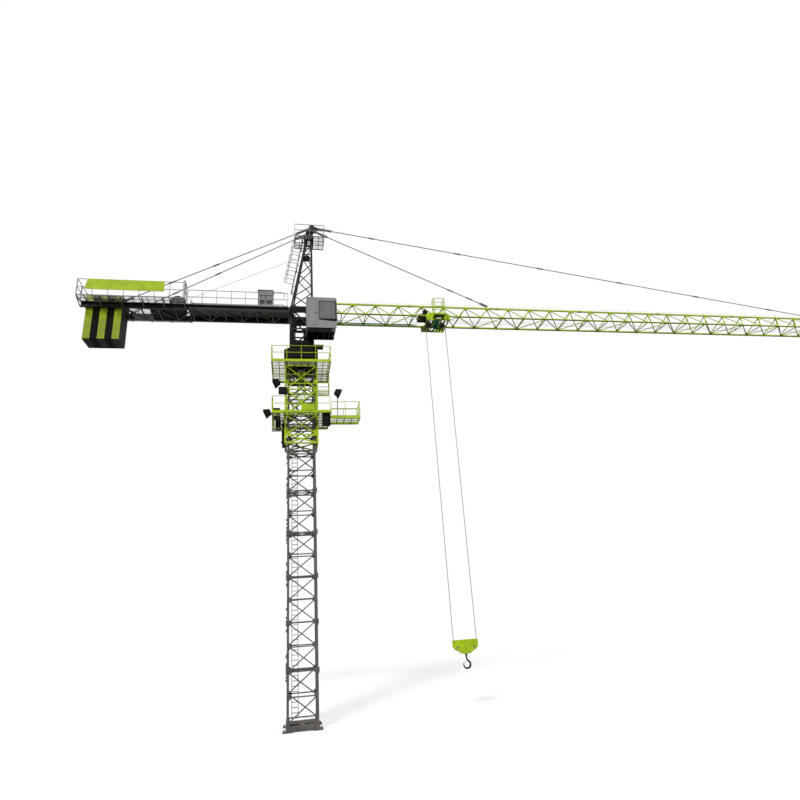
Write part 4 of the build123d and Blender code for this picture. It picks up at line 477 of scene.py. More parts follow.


# %% The crane's finishes
# In each paint's settings, the share for faces that look down is how far they are darkened with painted
# shade.
finish_list = [
    ("mast_paint", paint, (0.118, 0.108, 0.1), (0.074, 0.066, 0.06), dict(rust=0.5, under=0.7)),
    ("lime_paint", paint, (0.425, 0.6, 0.014), (0.32, 0.47, 0.012),
     dict(rust=0.18, rough=0.55, under=0.82, specular=0.14)),
    ("dark_paint", paint, (0.03, 0.024, 0.022), (0.018, 0.014, 0.013), dict(rust=0.45, specular=0.16)),
    ("black_paint", paint, (0.01, 0.009, 0.008), (0.006, 0.005, 0.004),
     dict(rust=0.2, rough=0.65, specular=0.08)),
    ("charcoal_paint", paint, (0.012, 0.009, 0.007), (0.007, 0.005, 0.004),
     dict(rust=0.1, rough=0.8, specular=0.06)),
    ("cab_paint", paint, (0.262, 0.25, 0.24), (0.222, 0.212, 0.204),
     dict(rust=0.08, rough=0.42, under=0.6)),
    ("rail_paint", paint, (0.3, 0.285, 0.28), (0.2, 0.185, 0.18), dict(rust=0.3)),
    ("tie_steel", steel, (0.13, 0.122, 0.118), (0.08, 0.074, 0.07), dict(metal=0.25, rust=0.3)),
    ("rope_steel", lay, (0.26, 0.26, 0.26), (0.12, 0.12, 0.12), {}),
    ("trolley_paint", paint, (0.014, 0.2, 0.135), (0.01, 0.12, 0.078),
     dict(rust=0.15, under=0.3, specular=0.2)),
    ("cab_window", pane, (0.15, 0.146, 0.14), (0.118, 0.115, 0.112), {}),
    ("deck_mesh", paint, (0.42, 0.47, 0.26), (0.26, 0.3, 0.14), dict(rust=0.3, under=0.2)),
    ("grey_mesh", steel, (0.16, 0.15, 0.145), (0.085, 0.078, 0.074), {}),
    ("bolt_steel", steel, (0.2, 0.19, 0.18), (0.1, 0.09, 0.082), dict(rust=0.6)),
    # The weights' last setting is the near black of their painted shade.
    ("weight_lime", weight_coat, (0.4, 0.56, 0.012), (0.3, 0.41, 0.02),
     dict(painted_shade_colour=(0.007, 0.006, 0.005))),
    ("deck_grey", paint, (0.34, 0.3, 0.28), (0.15, 0.128, 0.116), dict(rust=0.5, under=0.0, patch=7.0)),
    ("support_grey", paint, (0.085, 0.078, 0.07), (0.05, 0.045, 0.04), dict(rust=0.4, under=0.2)),
    ("bright_steel", steel, (0.48, 0.47, 0.46), (0.34, 0.33, 0.32), dict(metal=0.9, rough=0.3, rust=0.1)),
    ("rubber", paint, (0.02, 0.019, 0.018), (0.012, 0.011, 0.011), dict(rust=0.0, rough=0.7, specular=0.2)),
    ("lens", pane, (0.62, 0.61, 0.56), (0.44, 0.43, 0.4), dict(rough=0.1)),
    ("pale_sheet", paint, (0.7, 0.7, 0.69), (0.58, 0.58, 0.57), dict(rust=0.1, under=0.2)),
]
nearest_slot = {"deck_mesh": "lime_paint", "grey_mesh": "rail_paint", "bolt_steel": "tie_steel",
                "weight_lime": "lime_paint", "deck_grey": "dark_paint", "support_grey": "dark_paint",
                "bright_steel": "tie_steel", "rubber": "black_paint", "lens": "cab_window",
                "pale_sheet": "rail_paint"}
finishes, slot_of = {}, {}
for name, maker, colour, shade, settings in finish_list:
    finishes[name], tree = start_finish(name)
    own = tree.nodes.new("ShaderNodeTexCoord").outputs
    maker(tree, own, (*colour, 1.0), (*shade, 1.0), **settings)
    slot_of[name] = nearest_slot.get(name, name)

node_slots = {entry["node"]: entry["material_slot"] for entry in frame["record"]["subparts"]}
own_finish = {"counterweights_light": "weight_lime", "counter_decks": "deck_grey",
              "slew_support": "support_grey"}
for name, node in frame["nodes"].items():
    node.data.materials.clear()
    node.data.materials.append(finishes[own_finish.get(name, node_slots[name])])
print("painted", len(frame["nodes"]), "nodes in", len(finishes), "finishes")

# %% [markdown]
# ## Open grating
# The decks are open steel grating: flat bearing bars on edge, tied by rods. From below they let the sky
# through, which is why the decks in the picture look like a tint and not like a plate. Each bay is two
# sets of straight bars, so one function covers every deck.

# %% Deck grating
grate_bar, grate_pitch = (0.003, 0.009), 0.055
grate_rod, grate_rod_pitch = 0.004, 0.17


def grating(x_low, x_high, y_low, y_high, top):
    """Bars along X every grate_pitch and rods along Y every grate_rod_pitch, spread over a rectangle."""
    rows = np.linspace(y_low, y_high, max(2, round((y_high - y_low) / grate_pitch) + 1))
    columns = np.linspace(x_low, x_high, max(2, round((x_high - x_low) / grate_rod_pitch) + 1))
    bar_level, rod_level = top - grate_bar[1] / 2, top - grate_rod
    return join(bars(at(x_low, rows, bar_level), at(x_high, rows, bar_level), *grate_bar),
                bars(at(columns, y_low, rod_level), at(columns, y_high, rod_level), grate_rod, grate_rod))


def ring_grating(half, hole, top):
    """Grating of a square deck round a square hole: two full strips and two short ones."""
    return join(grating(-half, -hole, -half, half, top), grating(hole, half, -half, half, top),
                grating(-hole, hole, -half, -hole, top), grating(-hole, hole, hole, half, top))


top_deck, mid_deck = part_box("cage_deck_top"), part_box("cage_deck_mid")
deck_rim, cage_outer, mid_half = 0.015, 0.6, 1.02
add_piece("cage_gratings", "deck_mesh", "tower",
          ring_grating(top_deck[1].x - deck_rim, 0.53, top_deck[1].z),
          ring_grating(mid_half - deck_rim, cage_outer, mid_deck[1].z),
          grating(mid_half, mid_deck[1].x - deck_rim, -0.405, 0.405, mid_deck[1].z),
          grating(deck_rim - mid_half, -cage_outer, -0.54, -0.14, mid_deck[0].z + deck_rim))

head_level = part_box("head_deck")[1].z
head_bays = ((-0.22, 0.17, 0.0, 0.435), (-0.22, 0.17, -0.435, -0.28), (0.045, 0.17, -0.28, 0.0),
             (0.5, 0.935, -0.435, 0.435), (0.17, 0.5, 0.24, 0.435), (0.17, 0.5, -0.435, -0.24))
add_piece("head_grating", "grey_mesh", "upperworks", *[grating(*bay, head_level) for bay in head_bays])

walk_x, walk_level = (-7.75, -4.165), 14.25
add_piece("walkway_gratings", "grey_mesh", "upperworks",
          *[grating(*walk_x, *walk_y, walk_level) for walk_y in ((-0.935, -0.5), (0.5, 0.935))])

# %% [markdown]
# ## Mast joints
# A mast is stacked section on section. At each joint, long bolts in sleeves clamp the legs together, two
# on each outer face. Small gussets spread the load where the lacing meets the legs. A bolt is a turned
# part with six sides, so its head and nut come out hexagonal.

# %% Bolts and gussets of the mast
section_height, section_count, base_top = 1.4, 8, 0.225
leg_centre, bolt_out = 0.45, 0.506
sleeve_bolt = turned(stepped(-0.09, (0.014, -0.076), (0.008, -0.05), (0.013, 0.05), (0.008, 0.07),
                             (0.015, 0.086)), 6)
joints = base_top + section_height * np.arange(1, section_count)
add_piece("mast_bolts", "bolt_steel", "tower",
          *[copies(sleeve_bolt, four_corners(*spot, *joints))
            for near in (leg_centre - 0.022, leg_centre + 0.022)
            for spot in ((bolt_out, near), (near, bolt_out))])

gusset = np.array([(0, -0.085), (0.085, -0.02), (0.085, 0.02), (0, 0.085)])
gusset_out, gusset_thick, leg_inner = 0.472, 0.008, 0.414
levels = base_top + section_height / 2 * np.arange(1, 2 * section_count)
side_turns = [np.array([(c, -s, 0), (s, c, 0), (0, 0, 1)]) for c, s in ((1, 0), (0, 1), (-1, 0), (0, -1))]
one_side = [plate(gusset * (-hand, 1), gusset_thick, (hand * leg_inner, -gusset_out, 0), *XZ)
            for hand in (-1, 1)]
gussets = copies(join(*one_side), at(0, 0, levels))
add_piece("mast_gussets", "mast_paint", "tower", *[copies(gussets, at(0, 0, 0), turn) for turn in side_turns])

# %% Feet of the mast
anchor_nut = turned(stepped(0.03, (0.022, 0.034), (0.017, 0.052), (0.01, 0.072)), 6)
anchor_out = (leg_centre - 0.11, leg_centre + 0.11)
add_piece("anchor_nuts", "bolt_steel", "tower",
          *[copies(anchor_nut, four_corners(x, y, 0)) for x in anchor_out for y in anchor_out])

# %% [markdown]
# ## Climbing cage
# The cage rides up the mast on rollers, pushed by a ram. Its working ladder and the small balcony on the
# right are part of the lime frame. Both are nothing but bars: uprights, and rails round a rectangle.

# %% Rollers, ladder and balcony of the cage
roller = turned(both_ends((0.012, 0.024), (0.02, 0.018), (0.021, 0.014)), 16, "y")
roller_out, roller_levels = 0.507, (9.06, 10.52, 11.56)
quarter_turn = np.array([(0, -1, 0), (1, 0, 0), (0, 0, 1)])
add_piece("guide_rollers", "bolt_steel", "tower",
          copies(roller, four_corners(roller_out, leg_centre, *roller_levels)),
          copies(roller, four_corners(leg_centre, roller_out, *roller_levels), quarter_turn))


def ladder(feet, height, stile, rung, levels):
    """Two stiles that stand on their feet, and a rung from one to the other at every level."""
    left, right = (at(x, y, levels) for x, y, _ in feet)
    return join(uprights(feet, height, *stile), bars(left, right, rung, rung))


def rails_round(xs, ys, levels, thick):
    """Rails round a rectangle, from its low to its high corner, on every level."""
    return join(*[bars(at(xs[0], y, levels), at(xs[1], y, levels), thick, thick) for y in ys],
                *[bars(at(x, ys[0], levels), at(x, ys[1], levels), thick, thick) for x in xs])


ladder_low, ladder_high = 10.36, 11.58
add_piece("cage_ladder", "lime_paint", "tower",
          ladder(at((-0.09, 0.12), -0.52, ladder_low), ladder_high - ladder_low, (0.026, 0.014), 0.018,
                 np.arange(ladder_low + 0.06, ladder_high, 0.14)))

ring_reach = (-0.556, 0.556)
add_piece("cage_rings", "lime_paint", "tower",
          rails_round(ring_reach, ring_reach, (10.3, 10.72, 11.1, 11.46), 0.022))
balcony_x, balcony_y, balcony_z = (0.585, 1.0), (-0.575, -0.16), (10.8, 11.46)
posts = [(x, y, balcony_z[0]) for x in balcony_x for y in balcony_y]
add_piece("side_balcony", "lime_paint", "tower",
          uprights(posts, balcony_z[1] - balcony_z[0], 0.022, 0.022),
          rails_round(balcony_x, balcony_y, (10.8, 10.85, 11.13, 11.46), 0.018),
          grating(*balcony_x, *balcony_y, balcony_z[0] + 0.01))

# %% [markdown]
# ## Ram and floodlights
# The ram's rod and glands are turned parts. A floodlight's hood is a square funnel: two rounded
# rectangles, a small one behind and a large one in front, carried out and back in again for its wall.

# %% Ram and lamp fittings
ram_place = at(-0.64, 0, 0)
gland = [(0.064, 9.7), (0.068, 9.705), (0.068, 9.735), (0.06, 9.74), (0.06, 9.752)]
lower_cap = [(0.062, 9.02), (0.068, 9.03), (0.068, 9.08), (0.058, 9.1)]
add_piece("ram_glands", "black_paint", "tower",
          *[copies(turned(profile, 24), ram_place) for profile in (gland, lower_cap)])
add_piece("ram_rod", "bright_steel", "tower", copies(turned(stepped(9.74, (0.034, 9.9)), 24), ram_place))

lamp_tilt = radians(25.0)
lamp_places = [((-0.85, -0.56, 11.13), -1), ((-1.145, -0.7, 9.94), -1), ((1.299, -0.36, 10.83), 1)]
hood_wall = [(-0.05, (0.2, 0.19, 0.02)), (0.13, (0.34, 0.29, 0.03)),
             (0.13, (0.32, 0.27, 0.02)), (-0.05, (0.18, 0.17, 0.01))]
lenses, hoods = [], []
for centre, hand in lamp_places:
    facing = np.array([hand * cos(lamp_tilt), 0, -sin(lamp_tilt)])
    rise = np.array([hand * sin(lamp_tilt), 0, cos(lamp_tilt)])
    hoods.append(wall([(rounded(*size), centre + ahead * facing, Y, rise) for ahead, size in hood_wall]))
    fins = centre - 0.08 * facing + np.linspace(-0.07, 0.07, 7)[:, None] * rise
    hoods.append(centred_bars(fins, (0, 0.085, 0), 0.006, 0.02, facing))
    lenses.append(slab(0.186, 0.176, 0.02, 0.006, centre + 0.08 * facing, Y, rise))
add_piece("lamp_lenses", "lens", "tower", *lenses)
add_piece("lamp_hoods", "black_paint", "tower", *hoods)
add_piece("cage_boxes", "black_paint", "tower",
          slab(0.3, 0.27, 0.015, 0.07, (-0.65, -0.62, 10.8), *XZ),
          slab(0.26, 0.23, 0.01, 0.01, (-0.65, -0.658, 10.8), *XZ),
          slab(0.16, 0.28, 0.015, 0.08, (0.86, -0.905, 9.6), (1, 0, 0.12), (-0.12, 0, 1)))

# %% [markdown]
# ## Slewing gear
# Everything above the ring turns. Bolts hold the tower's feet round the manhole, two geared motors with
# cooling fins drive the ring, and curved skirt plates stiffen the foot and the head of the slewing tower.
# A foot skirt's upper edge is low in the middle and sweeps up to the legs: height = low + rise .
# (u / half width)^4. At the head it is the lower edge, and it sweeps down.

# %% Bolts, motors, skirts and ladder of the slewing tower
turn_top, support_top = 12.5, 11.455
head_bolt = turned(stepped(0, (0.016, 0.003), (0.013, 0.014), (0.008, 0.02)), 6)
add_piece("turntable_bolts", "bolt_steel", "upperworks",
          *[copies(head_bolt, circle((0, 0, turn_top), radius, full_turn(count), *XY))
            for radius, count in ((0.335, 30), (0.15, 12))])
add_piece("support_bolts", "bolt_steel", "tower",
          *[copies(head_bolt, four_corners(x, y, support_top)) for x, y in ((0.375, 0.455), (0.455, 0.375))])

fins = []
for level in np.arange(12.64, 12.82, 0.022):
    fins += [(0.074, level), (0.086, level), (0.086, level + 0.008), (0.074, level + 0.008)]
foot = [(0.098, 12.502), (0.098, 12.526), (0.08, 12.534)]
cowl = [(0.06, 12.88), (0.064, 12.89), (0.064, 12.93), (0.05, 12.95), (0.02, 12.956)]
terminal_box = slab(0.09, 0.07, 0.008, 0.05, (0.105, 0, 12.72), *YZ)
motor = join(turned(fins, 24, tip=12.83), turned(foot, 24), turned(cowl, 24), terminal_box)
add_piece("motor_fins", "black_paint", "upperworks", copies(motor, at(0, (-0.21, 0.21), 0)))


def skirt(half, low, middle, end, steps=21):
    """Outline of a skirt plate: a straight edge, and one that swings to its ends by the fourth power."""
    u = np.linspace(half, -half, steps)
    top = np.stack([u, middle + (end - middle) * (u / half) ** 4], 1)
    return np.vstack([[(-half, low), (half, low)], top])


tower_middle, tower_half_x, tower_half_y, skirt_out = 0.0325, 0.44, 0.418, 0.427
skirts = []
for edge in ((12.5, 12.89, 13.42), (14.34, 14.06, 13.8)):
    skirts += [plate(skirt(tower_half_x, *edge), 0.012, (tower_middle, y, 0), *XZ)
               for y in (-skirt_out, skirt_out)]
    skirts += [plate(skirt(tower_half_y, *edge), 0.012, (x, 0, 0), *YZ) for x in (-0.417, 0.482)]
add_piece("foot_skirts", "black_paint", "upperworks", *skirts)
switch_box = (0.27, 0.0, 13.12)
add_piece("tower_gear", "black_paint", "upperworks",
          uprights(at(-0.315, (-0.37, 0.37), turn_top), 1.5, 0.19, 0.045),
          slab(0.34, 0.78, 0.02, 0.52, switch_box, *XZ), slab(0.3, 0.72, 0.02, 0.55, switch_box, *XZ),
          rim((0.86, 0.8, 0.02), (0.36, 0.4, 0.02), 0.02, (tower_middle, 0, 13.62), *XY))
collector = [(0.055, 12.496), (0.055, 12.6), (0.075, 12.61), (0.075, 12.86), (0.06, 12.88),
             (0.06, 12.93)]
add_piece("tower_ladder", "dark_paint", "upperworks",
          ladder(at(-0.2, (-0.1, 0.1), turn_top), 1.68, (0.018, 0.018), 0.016,
                 np.arange(turn_top + 0.12, 14.2, 0.15)),
          copies(turned(collector, 24), at(-0.08, 0, 0)))

# %% [markdown]
# ## Sheaves and the hoist rope
# A sheave is turned from one profile: hub, thin web, rim and a V groove that holds the rope. The rope
# comes up from the winch, over the sheave in the head, down inside the tower to a lead sheave, and out
# along the underside of the jib. Its path is arcs and straight runs: centre + r (cos a, sin a).

# %% Grooved sheave
def sheave(radius, width, sides, grooves=1, axis="y"):
    """A sheave from hub to rim and back: each groove is three points of its profile, edge, root, edge."""
    half, groove = width / 2, width / grooves
    rim_edge = [(radius, -half)]
    for count in range(grooves):
        centre = -half + groove * (count + 0.5)
        rim_edge += [(radius, centre - groove * 0.34), (radius - groove * 0.3, centre),
                     (radius, centre + groove * 0.34)]
    rim_edge += [(radius, half)]
    side = [(radius * 0.28, half * 1.25), (radius * 0.3, half * 0.55),
            (radius * 0.74, half * 0.4), (radius * 0.8, half)]
    return turned(both_ends(*side, middle=rim_edge), sides, axis)


rope_y, rope_radius = 0.07, 0.006
head_centre = np.array([0.248, 0.0, 16.826])
to_rope = (0, rope_y, 0)
add_piece("head_wheel", node_slots["head_sheave"], "upperworks",
          copies(sheave(0.14, 0.05, 48), head_centre + to_rope), copies(shaft(0.022, 0.224, 20), head_centre),
          instead_of=("head_sheave",))

# %% Rope over the head and along the jib
run_z, run_y, over_radius, lead_radius = 14.028, 0.025, 0.152, 0.085
lead_centre = np.array([0.345, 0.0, run_z + lead_radius])
leave_drum, meet_sheave = (-4.523, 14.606), (0.187, 16.969)
rope_rise = np.arctan2(meet_sheave[1] - leave_drum[1], meet_sheave[0] - leave_drum[0])
over_arc = circle(head_centre + to_rope, over_radius, np.linspace(np.pi / 2 + rope_rise, -0.05, 14))
lead_arc = circle(lead_centre + to_rope, lead_radius, np.linspace(np.pi, 1.5 * np.pi, 10))
run_x = np.linspace(0.9, 26.6, 40)
run = at(run_x, np.interp(run_x, (0.9, 3.0), (rope_y, run_y)), run_z)
add_piece("rope_run", "rope_steel", "upperworks",
          tube(np.vstack([over_arc, lead_arc, run]), rope_radius, over=Y))
add_piece("lead_sheave", "tie_steel", "upperworks",
          copies(sheave(lead_radius - rope_radius, 0.036, 32), lead_centre + to_rope),
          copies(shaft(0.014, 0.38, 12), lead_centre))

# %% [markdown]
# ## Hoist winch
# The drum is wound with rope. A single layer is a helix: (r cos a, a . pitch / 2 pi, r sin a), carried
# round as often as the pitch goes into the drum. The motor behind it has cooling ribs and a brake drum
# on its shaft.

# %% Wound drum and winch fittings
def wound(centre, radius, half, pitch, thick, sides=6, steps=20):
    """Rope wound on a drum along Y, from -half to half: a tube along a helix of that pitch."""
    turns = 2 * half / pitch
    angle = np.linspace(0, 2 * np.pi * turns, int(turns * steps))
    return tube(circle(centre, radius, angle) + at(0, angle * pitch / (2 * np.pi) - half, 0), thick, sides, Y)


drum_centre = np.array([-4.52, 0.0, 14.415])
drum_cheek = drum_centre + (0, 0.31, 0)
add_piece("drum_rope", "rope_steel", "upperworks", wound(drum_centre, 0.196, 0.24, 0.0128, 0.006))
hub = [(0.09, 0), (0.09, 0.02), (0.055, 0.026), (0.055, 0.05), (0.03, 0.056)]
small_bolt = turned(stepped(0, (0.012, 0.01)), 6, "y")
brake = turned(both_ends((0.105, 0.03), (0.112, 0.022)), 28, "y")
add_piece("winch_fittings", "dark_paint", "upperworks", both_sides(turned(hub, 24, "y"), drum_cheek),
          both_sides(small_bolt, circle(drum_cheek, 0.235, full_turn(16))),
          centred_bars(at(-4.93, np.linspace(-0.118, 0.118, 9), 14.3), (0.125, 0, 0), 0.008, 0.33),
          copies(brake, (-4.93, 0.148, 14.3)),
          slab(0.16, 0.22, 0.02, 0.1, (-5.22, -0.2, 14.253), *YZ),
          slab(0.26, 0.2, 0.03, 0.18, (-5.24, 0.15, 14.245), *YZ))

# %% Trolley winch, its ropes and the tip of the jib
small_drum, line_radius = np.array([4.77, 0.0, 14.203]), 0.004
line_runs = ((-0.05, 0.95, 4.7), (0.05, 4.9, 26.7), (-0.05, 5.2, 26.7))
add_piece("trolley_rope", "rope_steel", "upperworks",
          wound(small_drum, 0.11 + line_radius, 0.115, 0.0095, line_radius, 5, 16),
          *[tube(at(np.linspace(start, end, 24), y, 14.112), line_radius, 6) for y, start, end in line_runs])
conduit_y, conduit_z = 0.405, 14.1
add_piece("winch_conduit", "trolley_paint", "upperworks",
          tube(at((0.62, 2.4, 4.62, 4.7), (conduit_y, conduit_y, conduit_y, 0.3), conduit_z), 0.015),
          tube(at((0.62, 2.4, 4.55), conduit_y, conduit_z + 0.026), 0.01))
add_piece("tip_beam", "lime_paint", "upperworks",
          bars(at((26.72, 26.62), (-0.44, 0), 14.088), at((26.72, 26.84), (0.44, 0), 14.088), 0.04, 0.024))

bay, bay_count, jib_foot = 0.9375, 28, 0.625
joint_x = jib_foot + 4 * bay * np.arange(1, 7)
idler = turned(both_ends((0.014, 0.085), (0.014, 0.06), (0.019, 0.055)), 12, "y")
drum_flange = turned(both_ends((0.128, 0.006), middle=[(0.132, 0)]), 28, "y")
add_piece("rope_idlers", "black_paint", "upperworks", copies(idler, at(joint_x, 0, 14.09)),
          copies(sheave(0.055, 0.03, 28, axis="z"), (26.72, 0, 14.112)),
          copies(drum_flange, small_drum + at(0, (-0.128, 0.128), 0)))

# %% [markdown]
# ## Jib fittings
# The jib comes in seven lengths, pinned end to end. Gussets on the slope of each side tie the lacing to
# the top chord and to the bottom chords, and a thin safety line hangs between its posts. A hanging line
# between two posts is close to a parabola: drop = 4 . sag . t (1 - t).

# %% Pins, gussets and safety line
chord_y, chord_z, top_chord_z = 0.46, 14.065, 14.735
pin = turned(both_ends((0.01, 0.046), (0.013, 0.043)), 12, "y")
pin_spots = [(x, y, z) for x in (-0.045, 0.045)
             for y, z in ((-chord_y, chord_z), (chord_y, chord_z), (0.0, top_chord_z))]
add_piece("jib_pins", "bolt_steel", "upperworks", copies(copies(pin, pin_spots), at(joint_x, 0, 0)))

jib_gusset = np.array([(-0.075, 0.04), (0.075, 0.04), (0.045, 0.105), (-0.045, 0.105)])
top_x, low_x = jib_foot + bay * (np.arange(bay_count) + 0.5), jib_foot + bay * np.arange(1, bay_count)
jib_plates = []
for hand in (-1, 1):
    down = unit((0.0, hand * chord_y, chord_z - top_chord_z))
    away = unit(np.cross(X, down)) * hand * -0.016
    upper = plate(jib_gusset, 0.006, away + (0, 0, top_chord_z), X, down)
    lower = plate(jib_gusset, 0.006, away + (0, hand * chord_y, chord_z), X, -down)
    jib_plates += [copies(upper, at(top_x, 0, 0)), copies(lower, at(low_x, 0, 0))]
add_piece("jib_gussets", "lime_paint", "upperworks", *jib_plates)

post_top, line_end_z, sag = 14.868, 14.765, 0.035
line_knots = [(1.15, line_end_z), *[(x, post_top) for x in joint_x - 1.5 * bay], (25.9, line_end_z)]
t = np.linspace(0, 1, 9)
line = [at(x0 + (x1 - x0) * t, 0, z0 + (z1 - z0) * t - 4 * sag * t * (1 - t))[:-1]
        for (x0, z0), (x1, z1) in zip(line_knots, line_knots[1:])]
add_piece("safety_line", "rope_steel", "upperworks",
          tube(np.vstack([*line, (25.9, 0, line_end_z)]), 0.0032, 6, Y))
head_pin = turned(both_ends((0.024, 0.052), (0.026, 0.046), (0.018, 0.04)), 16, "y")
head_pins = [(0.575, 0, 18.095), (0.72, 0, 18.235), (0.33, -0.15, 18.095), (0.33, 0.15, 18.095)]
add_piece("tie_pins", "bolt_steel", "upperworks", copies(head_pin, head_pins))

# %% [markdown]
# ## Counter-jib fittings
# The sign boards are folded steel sheet: lime outside, pale inside, bare here. A real sheet is never quite
# flat, so it gets a few millimetres of swell: lift = w . sin(pi u) . sin(n pi u) . sin(pi v). The five
# weights are cast blocks with lifting loops on top and long rods through them.

# %% Folded sign sheets
def swollen_sheet(corners, thick, swell, waves, columns=41, rows=9):
    """A four-cornered sheet: corners blended by (u, v), lifted by the swell, with a skin behind it."""
    a, b, c, d = (np.asarray(corner, float) for corner in corners)
    u, v = (line.reshape(-1, 1) for line in np.meshgrid(np.linspace(0, 1, columns), np.linspace(0, 1, rows)))
    face = (1 - u) * (1 - v) * a + u * (1 - v) * b + u * v * c + (1 - u) * v * d
    normal = unit(np.cross(b - a, d - a))
    face = face + normal * swell * np.sin(np.pi * u) * np.sin(waves * np.pi * u) * np.sin(np.pi * v)
    front = grid(rows, columns, wrap_columns=False)
    count = rows * columns
    number = np.arange(count).reshape(rows, columns)
    edge = np.concatenate([number[0, :-1], number[:-1, -1], number[-1, :0:-1], number[:0:-1, 0]])
    ahead = np.roll(edge, -1)
    side = np.stack([edge, edge + count, ahead + count, ahead], 1)
    return outward(np.vstack([face, face - normal * thick]), [front, front[:, ::-1] + count, side])


sign_low, sign_high, sign_front, sign_rear, sign_lean = 14.475, 14.89, -4.85, -7.51, 0.09
stay_ends, rail_z = (sign_rear + 0.12, sign_front - 0.05), (sign_low + 0.01, sign_high - 0.02)
sheets, backs, stays = [], [], []
for side in (-1, 1):
    for made, y, thick, inset in ((sheets, 0.9585, 0.003, 0.0), (backs, 0.9535, 0.0025, 0.004)):
        low, high, front = sign_low + inset, sign_high - inset, sign_front - inset
        outline = (sign_rear + inset, low), (front, low), (front, high), (sign_rear + sign_lean + inset, high)
        made.append(swollen_sheet([(x, side * y, z) for x, z in outline], thick, -0.0012, 5))
    rail = side * 0.9465
    stays += [uprights(at(np.linspace(*stay_ends, 7), rail, sign_low + 0.01), sign_high - sign_low - 0.02,
                       0.02, 0.01),
              bars(at(sign_rear + 0.11, rail, rail_z), at(sign_front - 0.02, rail, rail_z), 0.012, 0.018)]
rivet = turned([(0.006, -0.001), (0.005, 0.0015), (0.003, 0.0028)], 8, "y", tip=0.003)
rivets = [(x, 0.9585, z) for x in np.linspace(*stay_ends, 19) for z in (sign_low + 0.02, sign_high - 0.02)]
add_piece("sign_sheets", "lime_paint", "upperworks", *sheets, instead_of=("sign_boards",))
add_piece("sign_backs", "pale_sheet", "upperworks", *backs)
add_piece("sign_stays", "grey_mesh", "upperworks", *stays)
add_piece("sign_rivets", "bolt_steel", "upperworks", both_sides(rivet, rivets))

# %% Loops and rods of the weights, hoops of the walkways
slab_x = -6.36 - 0.242 * (np.arange(5) + 0.5)
loop_arc = circle((0, 0, 0.025), 0.045, np.linspace(0, np.pi, 9), *YZ)
loop = tube(np.vstack([(0, 0.045, -0.02), loop_arc, (0, -0.045, -0.02)]), 0.009, over=X)
rod = turned(stepped(-0.64, (0.02, -0.622), (0.01, 0.622), (0.02, 0.64)), 6, "x")
add_piece("weight_fittings", "bolt_steel", "upperworks",
          copies(loop, [(x, y, 14.5) for x in slab_x for y in (-0.27, 0.27)]),
          copies(rod, [(-6.965, y, z) for y in (-0.28, 0.28) for z in (13.0, 13.9)]))
pads = np.array([(x, y, 14.262) for x in slab_x for y in (-0.435, 0.435)])
add_piece("weight_pads", "rubber", "upperworks", centred_bars(pads, (0.1, 0, 0), 0.07, 0.024))

gate_bow = (0.515, 14.25), (0.515, 15.02), (0.935, 15.02), (0.935, 14.25)
end_bow = (-1.02, 14.89), (-0.62, 14.89), (-0.62, 14.57), (-1.02, 14.57)
hoops = []
for side in (-1, 1):
    for x in (-4.175, -4.21):
        hoops.append(tube(bend([(x, side * y, z) for y, z in gate_bow], 0.13, 7), 0.0095, over=X))
    hoops.append(tube(bend([(x, side * 0.47, z) for x, z in end_bow], 0.11, 7), 0.0095, over=Y))
add_piece("walkway_hoops", "rail_paint", "upperworks", *hoops)

# %% Electric cabinet doors
door_x, door_z, door_y = (-1.465, -1.185), 14.655, -0.409
slats = np.array([(x, door_y + 0.003, z) for x in door_x for z in np.linspace(14.42, 14.56, 8)])
hinges = np.array([(x, door_y - 0.004, z) for x in (-1.595, -1.055) for z in (14.36, 14.66, 14.93)])
handles = at((-1.345, -1.305), door_y - 0.006, 14.7)
doors = join(*[rim((0.268, 0.66, 0.01), (0.252, 0.644, 0.008), 0.008, (x, door_y, door_z), *XZ)
               for x in door_x], centred_bars(slats, (0.095, 0, 0), 0.022, 0.006))
metalwork = join(centred_bars(handles, (0, 0, 0.045), 0.012, 0.026, Y),
                 centred_bars(hinges, (0, 0, 0.03), 0.012, 0.012, Y))
cabinet = np.array([-1.325, -0.25, 0.0])
behind = 2 * cabinet, np.diag([-1.0, -1.0, 1.0])
add_piece("cabinet_doors", "cab_paint", "upperworks", doors, copies(doors, *behind),
          slab(0.6, 0.35, 0.03, 0.014, cabinet + (0, 0, 15.004), *XY))
add_piece("cabinet_metal", "bolt_steel", "upperworks", metalwork, copies(metalwork, *behind),
          copies(loop, at((-1.56, -1.09), -0.25, 15.005)))

# %% [markdown]
# ## Cab
# The cab is a moulded shell on a dark base. Rubber seals with rounded corners hold its panes: each is a
# flat frame between two rounded outlines. The door is only a seam with a handle, and a gutter runs
# round the roof.

# %% Seals, door and roof of the cab
near_y, far_y, cab_y, window_z, roof_z = -1.1435, -0.5065, -0.825, 13.82, 14.343
side_seal = (0.652, 0.79, 0.072), (0.578, 0.716, 0.046)
front_seal = (0.584, 0.79, 0.072), (0.51, 0.716, 0.046)
door_seam = (0.36, 1.08, 0.05), (0.35, 1.07, 0.046)
add_piece("cab_seals", "rubber", "upperworks",
          rim(*front_seal, 0.012, (1.312, cab_y, window_z), *YZ, steps=7),
          *[rim(*side_seal, 0.012, (0.951, y, window_z), *XZ, steps=7) for y in (near_y, far_y)],
          *[rim(*door_seam, 0.014, (0.405, y, 13.735), *XZ, steps=7) for y in (near_y, far_y)])
add_piece("cab_roof", "cab_paint", "upperworks",
          rim((1.06, 0.6, 0.05), (1.03, 0.57, 0.04), 0.014, (0.75, cab_y, roof_z), *XY),
          centred_bars(at(np.linspace(0.32, 1.18, 6), cab_y, roof_z), (0, 0.25, 0), 0.03, 0.01))
grab = at((0.192, 0.155, 0.155, 0.192), -1.07, (13.32, 13.32, 13.86, 13.86))
wiper = [(1.318, cab_y, 13.45), (1.33, cab_y, 13.5), (1.326, -0.74, 13.8)]
